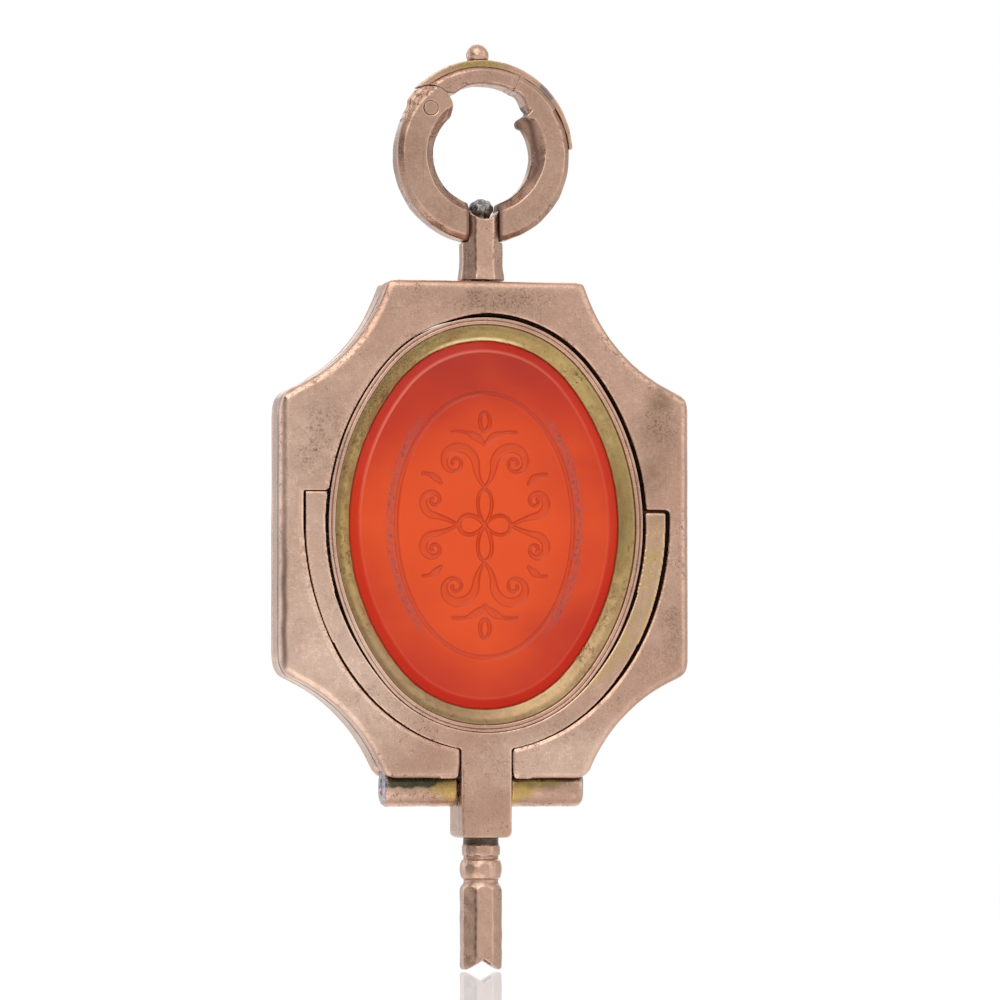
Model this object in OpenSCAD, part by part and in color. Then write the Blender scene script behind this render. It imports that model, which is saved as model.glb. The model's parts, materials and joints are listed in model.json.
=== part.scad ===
// Pocket watch key with a hinged seal.
// A key pipe, its tab, a U-shaped cradle and a set seal make one leaf.
// The leaf lies flush in an eight-cornered frame and swings out on a hinge at the frame's foot.
// The frame turns on a pin under a ring, and the ring has a hinged gate for the chain.
// Z is up, X runs across the front, and the front face looks towards -Y.
// The origin is the middle of the pipe's mouth.

/* [Key pipe] */
// Width of the eight-sided pipe across its flats
pipe_flats = 2.58; // [2.3:0.02:3]
// Straight length of the pipe
pipe_len = 5.6; // [4.5:0.1:8]
// Height of the pipe's turned shoulder
shoulder_h = 0.3; // [0.15:0.01:0.6]
// Side of the square socket
socket_side = 1.5; // [1:0.05:1.7]
// Depth of the square socket
socket_depth = 5; // [2:0.1:5.6]
// Width of the notch across the mouth
notch_w = 2.12; // [1:0.02:2.2]
// Height of the notch across the mouth
notch_h = 0.72; // [0.3:0.02:1.2]
// Diameter at the bottom of the turned grooves
groove_d = 2.24; // [1.9:0.02:2.3]
// Width of each turned groove
groove_w = 0.22; // [0.1:0.02:0.5]
// Largest diameter of the bead above the pipe
bead_d = 2.74; // [2.5:0.02:3.2]
// Length of the bead
bead_len = 1.3; // [0.8:0.05:2]
// Diameter of the collar above the bead
collar_d = 2.5; // [2.3:0.02:2.54]
// Length of the collar
collar_len = 0.7; // [0.4:0.05:1.2]
// Diameter of the neck under the tab
neck_d = 2.3; // [2:0.02:2.5]
// Length of the neck under the tab
neck_len = 0.46; // [0.2:0.02:1]
// Diameter of the tang inside the tab
tang_d = 1.2; // [0.8:0.05:1.3]
// Length of the tang inside the tab
tang_len = 1.6; // [0.8:0.1:2]

/* [Tab and cradle] */
// Width of the tab
tab_w = 3.34; // [3:0.02:4]
// Length of the tab below the hinge axis
tab_drop = 3.25; // [2.8:0.05:4.5]
// Radius of the tab's lower corners
tab_corner = 0.4; // [0.1:0.05:0.8]
// Thickness of the cradle
leaf_t = 1.1; // [0.9:0.05:1.2]
// Width of the cradle's arms at the sides
arm_w = 1.24; // [0.9:0.02:1.5]
// Width of the cradle under the seal
arm_foot_w = 1.26; // [1:0.02:1.35]
// Height of the left arm's end above the middle of the recess
arm_left_z = 1.74; // [-1:0.02:3]
// Height of the right arm's end above the middle of the recess
arm_right_z = 0.5; // [-1:0.02:3]

/* [Seal] */
// Width of the seal's setting
seal_w = 20.74; // [18:0.02:21]
// Height of the seal's setting
seal_h = 26.8; // [24:0.05:27]
// Radius of the setting's end arcs
seal_end_r = 8.67; // [8:0.01:8.95]
// Wall of the setting
setting_t = 0.45; // [0.3:0.01:0.7]
// Width of the sloping rim between the setting and the stone
slope_w = 1.05; // [0.6:0.01:1.4]
// Depth of the stone's table below the front
stone_depth = 0.6; // [0.4:0.02:2]
// Width of the bevel round the stone's table
bevel_w = 0.7; // [0.3:0.02:1.2]
// Fall of the stone's bevel to the sloping rim
bevel_h = 0.26; // [0.1:0.02:0.5]
// Stretch of the stone held behind the sloping rim
stone_tuck = 0.7; // [0.3:0.02:0.9]
// Thickness of the rim behind the stone
back_rim_t = 0.5; // [0.3:0.02:0.8]
// Width of the rim behind the stone
back_rim_w = 1.15; // [0.8:0.02:2]

/* [Frame] */
// Width of the frame
frame_w = 27; // [26.4:0.1:30]
// Height of the frame
frame_h = 32.2; // [31.8:0.1:36]
// Thickness of the frame
frame_t = 3.7; // [3.5:0.05:4.2]
// Width of the flat top and bottom edges
flat_w = 13.2; // [12:0.1:14]
// Height of the flat side edges
side_h = 18; // [16:0.1:20]
// How far the upright sides lie below the middle of the frame
side_drop = 0.33; // [0:0.01:0.6]
// Radius of the four hollow corners
hollow_r = 11; // [8:0.1:20]
// Height of the seal's middle above the frame's middle
seal_rise = 0.3; // [-0.3:0.02:0.6]
// Height of the recess's middle above the seal's middle
recess_rise = 0.3; // [0:0.02:0.6]
// Thickness of the ledge under the cradle
ledge_t = 0.5; // [0.3:0.02:0.8]
// Thickness of the back plate
back_t = 0.7; // [0.4:0.02:1]
// Thickness of the band round the outside
band_t = 0.6; // [0.4:0.02:0.8]
// Thickness of the band round the opening and the slot
lining_t = 0.5; // [0.3:0.02:0.7]
// Height of the bar that the hinge barrels lie in
hinge_bar_h = 1.6; // [1:0.05:2]

/* [Hinge] */
// Height of the frame's foot above the hinge axis
hinge_drop = 0.55; // [0.3:0.01:0.8]
// Diameter of the hinge barrels
barrel_d = 2.5; // [2.2:0.02:2.8]
// Distance from the middle to a barrel's outer end
barrel_end = 6.6; // [5:0.05:6.6]
// Length of the round at a barrel's outer end
barrel_round = 0.35; // [0.1:0.01:0.5]
// Diameter of the hinge pin
pin_d = 1.1; // [0.8:0.02:1.2]
// Distance from a barrel's end to the pin's end
pin_inset = 0.1; // [0:0.02:0.5]

/* [Swivel] */
// Width of the eight-sided post across its flats
post_flats = 2.69; // [2.4:0.01:2.9]
// Height of the post's full lower part
post_h = 2.35; // [1:0.05:2.4]
// Thickness of the post between the ring's ends
post_neck = 2; // [1.5:0.02:2.1]
// Height of the post's saddle above the frame
saddle_z = 4.05; // [3.8:0.01:4.3]
// Radius of the saddle
saddle_r = 1.14; // [0.9:0.01:1.3]
// Diameter of the swivel pin
swivel_d = 1; // [0.7:0.02:1.2]
// Diameter of the swivel pin's round head
swivel_head_d = 1.56; // [1.3:0.02:1.7]
// Diameter of the swivel pin's foot inside the frame
swivel_foot_d = 1.4; // [1.3:0.02:2]
// Thickness of the swivel pin's foot
swivel_foot_t = 0.35; // [0.2:0.01:0.5]

/* [Ring] */
// Height of the ring's middle above the frame
ring_rise = 8.22; // [8.1:0.01:8.6]
// Outer radius of the ring
ring_r = 5.72; // [5.6:0.01:5.8]
// Inner radius of the ring
ring_inner_r = 3.28; // [3.1:0.01:3.4]
// Thickness of the ring from front to back
ring_t = 2.3; // [1.9:0.02:2.6]
// Width of the ring's chamfers
ring_chamfer = 0.4; // [0.1:0.01:0.5]
// Distance of the gate's hinge from the ring's middle
gate_r = 4.62; // [4.5:0.01:4.95]
// Angle of the gate's hinge round the ring, from the right
gate_a = 140; // [130:1:144]
// Radius of the round joint at the gate's hinge
joint_r = 1.46; // [1.3:0.01:1.55]
// Inner radius of the gate
gate_inner_r = 4.62; // [4.3:0.01:4.7]
// Angle of the gate's free end
gate_end_a = 65; // [60:1:70]
// Angle of the right limb's inner tip
tip_a = 43; // [40:1:55]
// Radius of the bump at the right limb's inner tip
tip_bump_r = 0.35; // [0.2:0.01:0.4]
// Thickness of the gate's tongue
tongue_t = 0.84; // [0.6:0.02:1]
// Radius of the gate's tongue round the rivet
tongue_r = 1.02; // [0.8:0.02:1.2]
// Stretch of the gate's tongue round the ring
tongue_reach_a = 22; // [19:1:30]
// Diameter of the gate's rivet
rivet_d = 0.9; // [0.6:0.02:1]
// Width of the spring leaf
spring_w = 1.6; // [1.2:0.02:1.9]
// Thickness of the spring leaf at the top
spring_t = 0.5; // [0.4:0.01:0.8]
// Radius of the spring leaf's outside
spring_r = 5.96; // [5.9:0.01:6.1]
// Angle of the spring leaf's free end
spring_end_a = 5; // [0:1:20]
// Angle where the left limb's shoulder ends
shoulder_a = 152; // [148:1:158]
// Diameter of the thumb ball
ball_d = 1.48; // [1:0.02:1.6]
// Depth that the thumb ball is filed flat to sit on the leaf
ball_sink = 0.4; // [0.1:0.01:0.5]
// Diameter of the thumb ball's neck
ball_neck_d = 0.8; // [0.5:0.02:1]
// Height of the thumb ball's neck
ball_neck_h = 0.1; // [0.05:0.01:0.3]
// Angle of the thumb ball round the ring
ball_a = 92; // [85:1:100]
// Diameter of the catch pin
catch_d = 0.6; // [0.4:0.02:0.7]
// Angle of the catch pin round the ring
catch_a = 48; // [30:1:55]
// Depth that the catch pin reaches into the ring
catch_depth = 0.22; // [0.1:0.01:0.4]

/* [Clearances] */
// Gap between the tab and each side of its slot
slot_gap = 0.12; // [0.08:0.01:0.2]
// Gap round the seal's setting
seal_gap = 0.24; // [0.2:0.01:0.35]
// Gap outside the cradle's arms
arm_side_gap = 0.28; // [0.2:0.01:0.4]
// Gap under the cradle
arm_foot_gap = 0.12; // [0.1:0.01:0.25]
// Gap over the ends of the cradle's arms
arm_end_gap = 0.2; // [0.15:0.01:0.4]
// Gap between the post and the frame
post_gap = 0.2; // [0.1:0.01:0.4]
// Radial gap of a pin that turns in its hole
running_gap = 0.03; // [0.02:0.005:0.06]
// Radial gap of a pin that is fixed in its hole
fixed_gap = 0.01; // [0.005:0.005:0.015]
// Gap at the gate's joint and free end
gate_gap = 0.06; // [0.04:0.01:0.1]

/* [Hidden] */

$fn = 96;
eps = 0.5;
far = 60;

// Heights along the key and the frame
bead_z = pipe_len + groove_w;
collar_z = bead_z + bead_len + groove_w;
neck_z = collar_z + collar_len;
tab_z = neck_z + neck_len;
hinge_z = tab_z + tab_drop;
frame_z0 = hinge_z + hinge_drop;
frame_z1 = frame_z0 + frame_h;
frame_cz = frame_z0 + frame_h / 2;
seal_z = frame_cz + seal_rise;
recess_z = seal_z + recess_rise;
ring_z = frame_z1 + ring_rise;
post_z = frame_z1 + post_gap;
swivel_foot_z = frame_z1 - band_t - fixed_gap - swivel_foot_t;

// Depths through the frame
front_y = -frame_t / 2;
back_y = frame_t / 2;
leaf_y = front_y + leaf_t;
ledge_y = leaf_y + ledge_t;
plate_y = back_y - back_t;

// Half sizes of the seal, its opening, the arms and their recess
seal_a = seal_w / 2;
seal_b = seal_h / 2;
slot_half = tab_w / 2 + slot_gap;
arm_a = seal_a + seal_gap + arm_w;
arm_b = recess_rise + seal_b + arm_foot_w;
recess_a = arm_a + arm_side_gap;
recess_b = arm_b + arm_foot_gap;

// Layers of the setting and the stone
table_y = front_y + stone_depth;
lip_y = table_y + bevel_h;
lip_d = setting_t + slope_w;
stone_d = lip_d - stone_tuck;
girdle_y = lip_y + stone_tuck * bevel_h / bevel_w;
stone_back_y = back_y - back_rim_t - fixed_gap;
rim_round = 0.2;

// Places on the ring
gate_x = gate_r * cos(gate_a);
gate_z = gate_r * sin(gate_a);
spring_off = ring_r + spring_t - spring_r;
spring_off_a = 95;
spring_in_r = ring_r + fixed_gap;

// Side radius of a four-arc oval with half sizes a and b and end radius r
function side_radius(a, b, r) = (a * a + b * b - 2 * b * r) / (2 * (a - r));

// Points of a four-arc oval whose half sizes and end radius are drawn in by d
function oval_points(a, b, r, d, n) =
    let (rs = side_radius(a, b, r), cx = rs - a, cz = b - r, half = atan2(cz, cx))
    concat(
        [for (i = [0 : n - 1]) let (t = -half + 2 * half * i / n) [-cx + (rs - d) * cos(t), (rs - d) * sin(t)]],
        [for (i = [0 : n - 1]) let (t = half + (180 - 2 * half) * i / n) [(r - d) * cos(t), cz + (r - d) * sin(t)]],
        [for (i = [0 : n - 1]) let (t = 180 - half + 2 * half * i / n) [cx + (rs - d) * cos(t), (rs - d) * sin(t)]],
        [for (i = [0 : n - 1]) let (t = 180 + half + (180 - 2 * half) * i / n)
            [(r - d) * cos(t), -cz + (r - d) * sin(t)]]
    );

// Faces of a closed ring lofted through m sections of n points
function loop_faces(n, m) = [
    for (j = [0 : m - 1]) for (i = [0 : n - 1])
        let (k = (i + 1) % n, l = (j + 1) % m)
        each [[j * n + i, l * n + i, j * n + k], [l * n + i, l * n + k, j * n + k]]
];

// Faces of a closed plug lofted through m sections of n points
function plug_faces(n, m) = concat(
    [for (j = [0 : m - 2]) for (i = [0 : n - 1])
        let (k = (i + 1) % n)
        each [[j * n + i, (j + 1) * n + i, j * n + k], [(j + 1) * n + i, (j + 1) * n + k, j * n + k]]],
    [[for (i = [0 : n - 1]) i], [for (i = [0 : n - 1]) (m - 1) * n + n - 1 - i]]
);

// A four-arc oval in the plane, with half sizes a and b and end radius r
module oval(a, b, r) {
    rs = side_radius(a, b, r);
    cx = rs - a;
    cz = b - r;
    tz = cz * rs / (rs - r);
    intersection() {
        translate([cx, 0]) circle(rs);
        translate([-cx, 0]) circle(rs);
        square([4 * a, 2 * tz], center = true);
    }
    for (s = [-1, 1]) translate([0, s * cz]) circle(r);
}

// Raises a drawing in X and Z into a slab from depth y0 to depth y1
module slab(y0, y1) {
    translate([0, y1, 0]) rotate([90, 0, 0]) linear_extrude(y1 - y0) children();
}

// Sector of the plane between two angles, out to radius r
module sector(a0, a1, r) {
    steps = 6;
    polygon(concat([[0, 0]], [for (i = [0 : steps]) let (t = a0 + (a1 - a0) * i / steps) r * [cos(t), sin(t)]]));
}

// The frame's outline, drawn in by d
module frame_outline(d) {
    dx = (frame_w - flat_w) / 2;
    dz = (frame_h - side_h) / 2;
    chord = sqrt(dx * dx + dz * dz);
    reach = sqrt(hollow_r * hollow_r - chord * chord / 4);
    translate([0, frame_cz]) difference() {
        square([frame_w - 2 * d, frame_h - 2 * d], center = true);
        for (sx = [-1, 1]) for (sz = [-1, 1]) scale([sx, sz]) translate([
            frame_w / 2 - dx / 2 + reach * dz / chord,
            frame_h / 2 - dz / 2 + reach * dx / chord - sz * side_drop
        ]) circle(hollow_r + d);
    }
}

// The seal's opening, widened by d
module seal_oval(d) {
    translate([0, seal_z]) oval(seal_a + d, seal_b + d, seal_end_r + d);
}

// The slot for the tab, widened by d
module slot_strip(d) {
    translate([-slot_half - d, frame_z0 - eps]) square([2 * (slot_half + d), seal_z - frame_z0]);
}

// The troughs that the hinge barrels lie in
module barrel_trough() {
    for (s = [-1, 1]) scale([s, 1, 1]) translate([slot_half - eps, 0, hinge_z]) rotate([0, 90, 0])
        cylinder(r = barrel_d / 2 + fixed_gap, h = barrel_end - slot_half + 2 * eps);
}

// The space outside a barrel-shaped parting surface, which turns freely on the hinge axis.
// It meets the front face in the lower half of an ellipse with half sizes a and b.
module swing_space(a, b) {
    steps = 48;
    foot = recess_z - hinge_z;
    edge = [for (i = [0 : steps]) let (t = 180 + 180 * i / steps, h = foot + b * sin(t))
        [sqrt(h * h + front_y * front_y), a * cos(t)]];
    translate([0, 0, hinge_z]) rotate([0, 90, 0]) rotate_extrude()
        polygon(concat(edge, [[far / 2, a], [far / 2, -a]]));
}

// The front of the frame up to the ends of the arms, moved up by d
module arm_window(a, d) {
    translate([-a, hinge_z]) square([a, recess_z + arm_left_z + d - hinge_z]);
    translate([0, hinge_z]) square([a, recess_z + arm_right_z + d - hinge_z]);
}

// The tab's outline with rounded lower corners
module tab_outline(top) {
    half = tab_w / 2;
    translate([-half, tab_z + tab_corner]) square([tab_w, top - tab_z - tab_corner]);
    translate([-half + tab_corner, tab_z]) square([tab_w - 2 * tab_corner, tab_corner + eps]);
    for (s = [-1, 1]) translate([s * (half - tab_corner), tab_z + tab_corner]) circle(tab_corner);
}

// A hinge barrel on the right, bored for the pin and rounded at its outer end
module hinge_barrel() {
    r = barrel_d / 2;
    len = barrel_end - slot_half;
    translate([slot_half, 0, hinge_z]) rotate([0, 90, 0]) rotate_extrude() {
        difference() {
            union() {
                translate([pin_d / 2 + fixed_gap, 0]) square([r - pin_d / 2 - fixed_gap, len - barrel_round]);
                translate([pin_d / 2 + fixed_gap, 0])
                    square([r - barrel_round - pin_d / 2 - fixed_gap, len]);
                translate([r - barrel_round, len - barrel_round]) circle(barrel_round);
            }
        }
    }
}

// A ring section in the plane of the ring, with chamfered corners
module bow_revolve(r0, r1, c) {
    h = ring_t / 2;
    rotate([90, 0, 0]) rotate_extrude() polygon([
        [r0, -h + c], [r0 + c, -h], [r1 - c, -h], [r1, -h + c],
        [r1, h - c], [r1 - c, h], [r0 + c, h], [r0, h - c]
    ]);
}

// A disc round the gate's hinge
module joint_disc(r) {
    translate([gate_x, gate_z]) circle(r);
}

// The raised back of the left limb, which carries on the line of the spring leaf
module shoulder_shape() {
    a0 = gate_a - 14;
    polygon([
        (ring_r - 2 * eps) * [cos(a0), sin(a0)],
        (ring_r + spring_t) * [cos(a0), sin(a0)],
        (ring_r + spring_t / 2) * [cos(gate_a + 2), sin(gate_a + 2)],
        (ring_r - eps / 2) * [cos(shoulder_a), sin(shoulder_a)],
        (ring_r - 2 * eps) * [cos(shoulder_a), sin(shoulder_a)]
    ]);
}

// Stands what it is given outwards from the ring's middle, at radius r and angle a
module at_ring(a, r) {
    rotate([0, -a, 0]) translate([r, 0, 0]) rotate([0, 90, 0]) children();
}

module bow_left() color("rosybrown") translate([0, 0, ring_z]) difference() {
    union() {
        intersection() {
            bow_revolve(ring_inner_r, ring_r, ring_chamfer);
            slab(-ring_t, ring_t) difference() {
                union() {
                    sector(gate_a, 270, 2 * ring_r);
                    joint_disc(joint_r);
                }
                translate([-post_neck / 2, -2 * ring_r]) square([4 * ring_r, 2 * ring_r]);
            }
        }
        slab(-spring_w / 2, spring_w / 2) {
            intersection() {
                shoulder_shape();
                sector(gate_a, shoulder_a, 2 * ring_r);
            }
            intersection() {
                shoulder_shape();
                joint_disc(joint_r);
            }
        }
    }
    slab(-tongue_t / 2 - gate_gap / 2, tongue_t / 2 + gate_gap / 2) joint_disc(joint_r + gate_gap);
    slab(-ring_t, ring_t) joint_disc(rivet_d / 2 + fixed_gap);
}

module bow_right() color("rosybrown") translate([0, 0, ring_z]) difference() {
    union() {
        intersection() {
            bow_revolve(ring_inner_r, ring_r, ring_chamfer);
            slab(-ring_t, ring_t) difference() {
                sector(-90, tip_a, 2 * ring_r);
                translate([-ring_r, -2 * ring_r]) square([ring_r + post_neck / 2, 2 * ring_r]);
            }
        }
        intersection() {
            bow_revolve(gate_inner_r, ring_r, ring_chamfer / 2);
            slab(-ring_t, ring_t) sector(tip_a - 10, gate_end_a, 2 * ring_r);
        }
        slab(-ring_t / 2 + ring_chamfer, ring_t / 2 - ring_chamfer) rotate(tip_a - 4)
            translate([ring_inner_r + tip_bump_r / 2, 0]) circle(tip_bump_r);
    }
    // The pocket lets the catch pin leave it as the gate swings
    at_ring(catch_a, ring_r - catch_depth - gate_gap) translate([-catch_d * 1.4, 0, 0])
        slab_box(catch_d * 2.1, catch_d + 2 * gate_gap, 2);
}

// A block on its lower face, reaching from 0 along X and centred in Y
module slab_box(x, y, z) {
    translate([0, -y / 2, 0]) cube([x, y, z]);
}

module swivel_post() color("rosybrown") difference() {
    union() {
        translate([0, 0, post_z]) rotate([0, 0, 22.5])
            cylinder(r = post_flats / 2 / cos(22.5), h = post_h, $fn = 8);
        intersection() {
            translate([0, 0, post_z]) rotate([0, 0, 22.5])
                cylinder(r = post_flats / 2 / cos(22.5), h = saddle_z + saddle_r / 2, $fn = 8);
            translate([-post_neck / 2, -far, post_z]) cube([post_neck, 2 * far, far]);
        }
    }
    translate([0, 0, frame_z1 + saddle_z + saddle_r]) rotate([90, 0, 0])
        cylinder(r = saddle_r, h = 4 * post_flats, center = true);
    translate([0, 0, frame_z1]) cylinder(r = swivel_d / 2 + running_gap, h = saddle_z + eps);
}

module gate_rivet() color("rosybrown") translate([0, 0, ring_z])
    slab(-ring_t / 2, ring_t / 2) joint_disc(rivet_d / 2);

module gate_arm() color("tan") translate([0, 0, ring_z]) difference() {
    union() {
        intersection() {
            bow_revolve(gate_inner_r, ring_r, ring_chamfer / 2);
            slab(-ring_t, ring_t) difference() {
                sector(gate_end_a + gate_gap * 10, gate_a, 2 * ring_r);
                joint_disc(joint_r + gate_gap);
            }
        }
        slab(-tongue_t / 2, tongue_t / 2) {
            joint_disc(tongue_r);
            intersection() {
                difference() {
                    circle(ring_r - gate_gap);
                    circle(gate_inner_r);
                }
                sector(gate_a - tongue_reach_a, gate_a, 2 * ring_r);
            }
        }
    }
    slab(-ring_t, ring_t) joint_disc(rivet_d / 2 + running_gap);
}

// The crescent of the spring leaf, whose outside is a circle set off from the ring's middle
module spring_crescent() {
    difference() {
        intersection() {
            translate(spring_off * [cos(spring_off_a), sin(spring_off_a)]) circle(spring_r);
            sector(spring_end_a, gate_a - 6, 2 * ring_r);
        }
        circle(spring_in_r);
        joint_disc(joint_r + gate_gap);
    }
}

module gate_spring() color("darkkhaki") translate([0, 0, ring_z]) difference() {
    slab(-spring_w / 2, spring_w / 2) spring_crescent();
    at_ring(catch_a, ring_r - eps) cylinder(d = catch_d + 2 * fixed_gap, h = 2);
    at_ring(ball_a, ring_r + spring_t - ball_neck_h - fixed_gap) cylinder(d = ball_neck_d + 2 * fixed_gap, h = 2);
}

module thumb_ball() color("rosybrown") translate([0, 0, ring_z])
    at_ring(ball_a, ring_r + spring_t + fixed_gap) {
        intersection() {
            translate([0, 0, ball_d / 2 - ball_sink]) sphere(d = ball_d);
            translate([-ball_d, -ball_d, 0]) cube(2 * ball_d);
        }
        translate([0, 0, -ball_neck_h]) cylinder(d = ball_neck_d, h = ball_neck_h + ball_d / 4);
    }

module catch_pin() color("slategray") translate([0, 0, ring_z]) intersection() {
    at_ring(catch_a, ring_r - catch_depth) cylinder(d = catch_d, h = 2);
    slab(-ring_t, ring_t) translate(spring_off * [cos(spring_off_a), sin(spring_off_a)]) circle(spring_r);
}

module swivel_pin() color("slategray") {
    head_z = frame_z1 + saddle_z + swivel_head_d / 2;
    translate([0, 0, swivel_foot_z]) cylinder(d = swivel_d, h = head_z - swivel_foot_z);
    translate([0, 0, swivel_foot_z]) cylinder(d = swivel_foot_d, h = swivel_foot_t);
    translate([0, 0, head_z]) sphere(d = swivel_head_d);
}

module frame_front() color("rosybrown") difference() {
    slab(front_y, leaf_y) frame_outline(0);
    slab(front_y - eps, leaf_y + eps) {
        seal_oval(seal_gap);
        slot_strip(0);
    }
    intersection() {
        swing_space(recess_a, recess_b);
        slab(front_y - eps, leaf_y + eps) arm_window(recess_a, arm_end_gap);
    }
    barrel_trough();
    swivel_seat();
}

// The seat of the swivel pin's foot under the band
module swivel_seat() {
    translate([0, 0, swivel_foot_z - fixed_gap])
        cylinder(d = swivel_foot_d + 2 * fixed_gap, h = swivel_foot_t + 2 * fixed_gap);
}

// The two bars inside the frame's foot that the barrels lie in
module hinge_bars() {
    for (s = [-1, 1]) scale([s, 1]) translate([slot_half + lining_t + fixed_gap, frame_z0])
        square([flat_w / 2 - slot_half - lining_t - fixed_gap, hinge_bar_h]);
}

module frame_ledge() color("darkkhaki") difference() {
    slab(leaf_y, ledge_y) difference() {
        frame_outline(band_t + fixed_gap);
        seal_oval(seal_gap);
        slot_strip(0);
        hinge_bars();
    }
    barrel_trough();
    swivel_seat();
}

module frame_lining() color("darkkhaki") difference() {
    slab(ledge_y, plate_y) difference() {
        union() {
            seal_oval(seal_gap + lining_t);
            intersection() {
                slot_strip(lining_t);
                frame_outline(0);
            }
        }
        seal_oval(seal_gap);
        slot_strip(0);
    }
    barrel_trough();
}

module edge_band() color("rosybrown") difference() {
    slab(leaf_y, plate_y) {
        difference() {
            frame_outline(0);
            frame_outline(band_t);
            slot_strip(lining_t + fixed_gap);
        }
        hinge_bars();
    }
    barrel_trough();
    translate([0, 0, frame_z1 - band_t - eps]) cylinder(d = swivel_d + 2 * fixed_gap, h = band_t + 2 * eps);
}

module frame_back() color("rosybrown") difference() {
    slab(plate_y, back_y) difference() {
        frame_outline(0);
        seal_oval(seal_gap);
        slot_strip(0);
    }
    barrel_trough();
}

module hinge_barrel_left() color("darkkhaki") mirror([1, 0, 0]) hinge_barrel();

module hinge_barrel_right() color("darkkhaki") hinge_barrel();

module hinge_pin() color("slategray") translate([-barrel_end + pin_inset, 0, hinge_z]) rotate([0, 90, 0])
    cylinder(d = pin_d, h = 2 * (barrel_end - pin_inset));

module cradle() color("rosybrown") difference() {
    union() {
        intersection() {
            swing_space(arm_a, arm_b);
            slab(front_y, leaf_y) arm_window(arm_a, 0);
        }
        slab(front_y, leaf_y) tab_outline(seal_z - seal_b + arm_foot_w);
    }
    slab(front_y - eps, leaf_y + eps) translate([0, seal_z])
        oval(seal_a + seal_gap, seal_b + fixed_gap, seal_end_r + seal_gap / 2);
}

module knuckle() color("rosybrown") difference() {
    slab(leaf_y, back_y) difference() {
        tab_outline(seal_z - seal_b + arm_foot_w);
        seal_oval(fixed_gap);
    }
    translate([-tab_w, 0, hinge_z]) rotate([0, 90, 0]) cylinder(d = pin_d + 2 * running_gap, h = 2 * tab_w);
    translate([0, 0, tab_z - eps]) cylinder(d = tang_d + 2 * fixed_gap, h = tang_len + eps + fixed_gap);
}

// A solid lofted round the seal through sections given as inset and depth
module seal_loft(sections, closed) {
    n = 20;
    points = [for (s = sections) for (p = oval_points(seal_a, seal_b, seal_end_r, s[0], n)) [p[0], s[1], p[1]]];
    translate([0, 0, seal_z])
        polyhedron(points, closed ? loop_faces(4 * n, len(sections)) : plug_faces(4 * n, len(sections)));
}

module seal_setting() color("rosybrown") seal_loft([
    [0, back_y], [0, front_y + rim_round], [rim_round * 0.3, front_y + rim_round * 0.3],
    [setting_t / 2, front_y], [setting_t - rim_round * 0.3, front_y + rim_round * 0.3],
    [setting_t, front_y + rim_round], [setting_t, back_y]
], true);

module setting_slope() color("darkkhaki") seal_loft([
    [setting_t + fixed_gap, girdle_y - fixed_gap], [setting_t + fixed_gap, front_y + rim_round],
    [setting_t + fixed_gap + 0.05, front_y + rim_round], [lip_d, lip_y - 0.08], [lip_d, lip_y - fixed_gap],
    [stone_d, girdle_y - fixed_gap]
], true);

module setting_back_rim() color("rosybrown") seal_loft([
    [setting_t + fixed_gap, back_y], [setting_t + fixed_gap, back_y - back_rim_t],
    [setting_t + back_rim_w - 0.2, back_y - back_rim_t], [setting_t + back_rim_w, back_y - back_rim_t + 0.2],
    [setting_t + back_rim_w, back_y]
], true);

module seal_stone() color("orangered") seal_loft([
    [stone_d, stone_back_y], [stone_d, girdle_y], [lip_d + bevel_w, table_y]
], false);

// The eight-sided bar that the shank is filed from
module shank_prism(h) {
    rotate([0, 0, 22.5]) cylinder(r = pipe_flats / 2 / cos(22.5), h = h, $fn = 8);
}

// The straight pipe, whose shoulder is turned to a cone
module pipe_barrel() {
    corner = pipe_flats / 2 / cos(22.5);
    shank_prism(pipe_len - shoulder_h);
    intersection() {
        shank_prism(pipe_len);
        translate([0, 0, pipe_len - shoulder_h])
            cylinder(r1 = corner + groove_w / 4, r2 = groove_d / 2, h = shoulder_h);
    }
}

// The turned bead between its two grooves
module shank_bead() {
    rise = (bead_d - groove_d) / 2;
    arc_r = (bead_len * bead_len / 4 + rise * rise) / (2 * rise);
    translate([0, 0, pipe_len]) rotate_extrude() {
        square([groove_d / 2, collar_z - pipe_len]);
        intersection() {
            translate([bead_d / 2 - arc_r, groove_w + bead_len / 2]) circle(arc_r);
            translate([0, groove_w]) square([bead_d, bead_len]);
        }
    }
}

module key_pipe() color("rosybrown") difference() {
    union() {
        pipe_barrel();
        shank_bead();
        translate([0, 0, collar_z]) cylinder(d = collar_d, h = collar_len);
        translate([0, 0, neck_z]) cylinder(d = neck_d, h = neck_len);
        translate([0, 0, tab_z]) cylinder(d = tang_d, h = tang_len);
    }
    translate([-socket_side / 2, -socket_side / 2, -eps]) cube([socket_side, socket_side, socket_depth + eps]);
    slab(-pipe_flats, pipe_flats)
        polygon([[-notch_w / 2, 0], [0, notch_h], [notch_w / 2, 0], [notch_w / 2, -eps], [-notch_w / 2, -eps]]);
}

bow_left();
bow_right();
swivel_post();
gate_rivet();
gate_arm();
gate_spring();
thumb_ball();
catch_pin();
swivel_pin();
frame_front();
frame_ledge();
frame_lining();
edge_band();
frame_back();
hinge_barrel_left();
hinge_barrel_right();
hinge_pin();
cradle();
knuckle();
seal_setting();
setting_slope();
setting_back_rim();
seal_stone();
key_pipe();
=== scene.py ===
"""Pocket watch key with a hinged seal: the worn gold pieces, the cut stone and the studio round them.

Lengths inside the forms are millimetres; each piece is scaled to metres when it joins the scene.
"""
import json
import math

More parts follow.
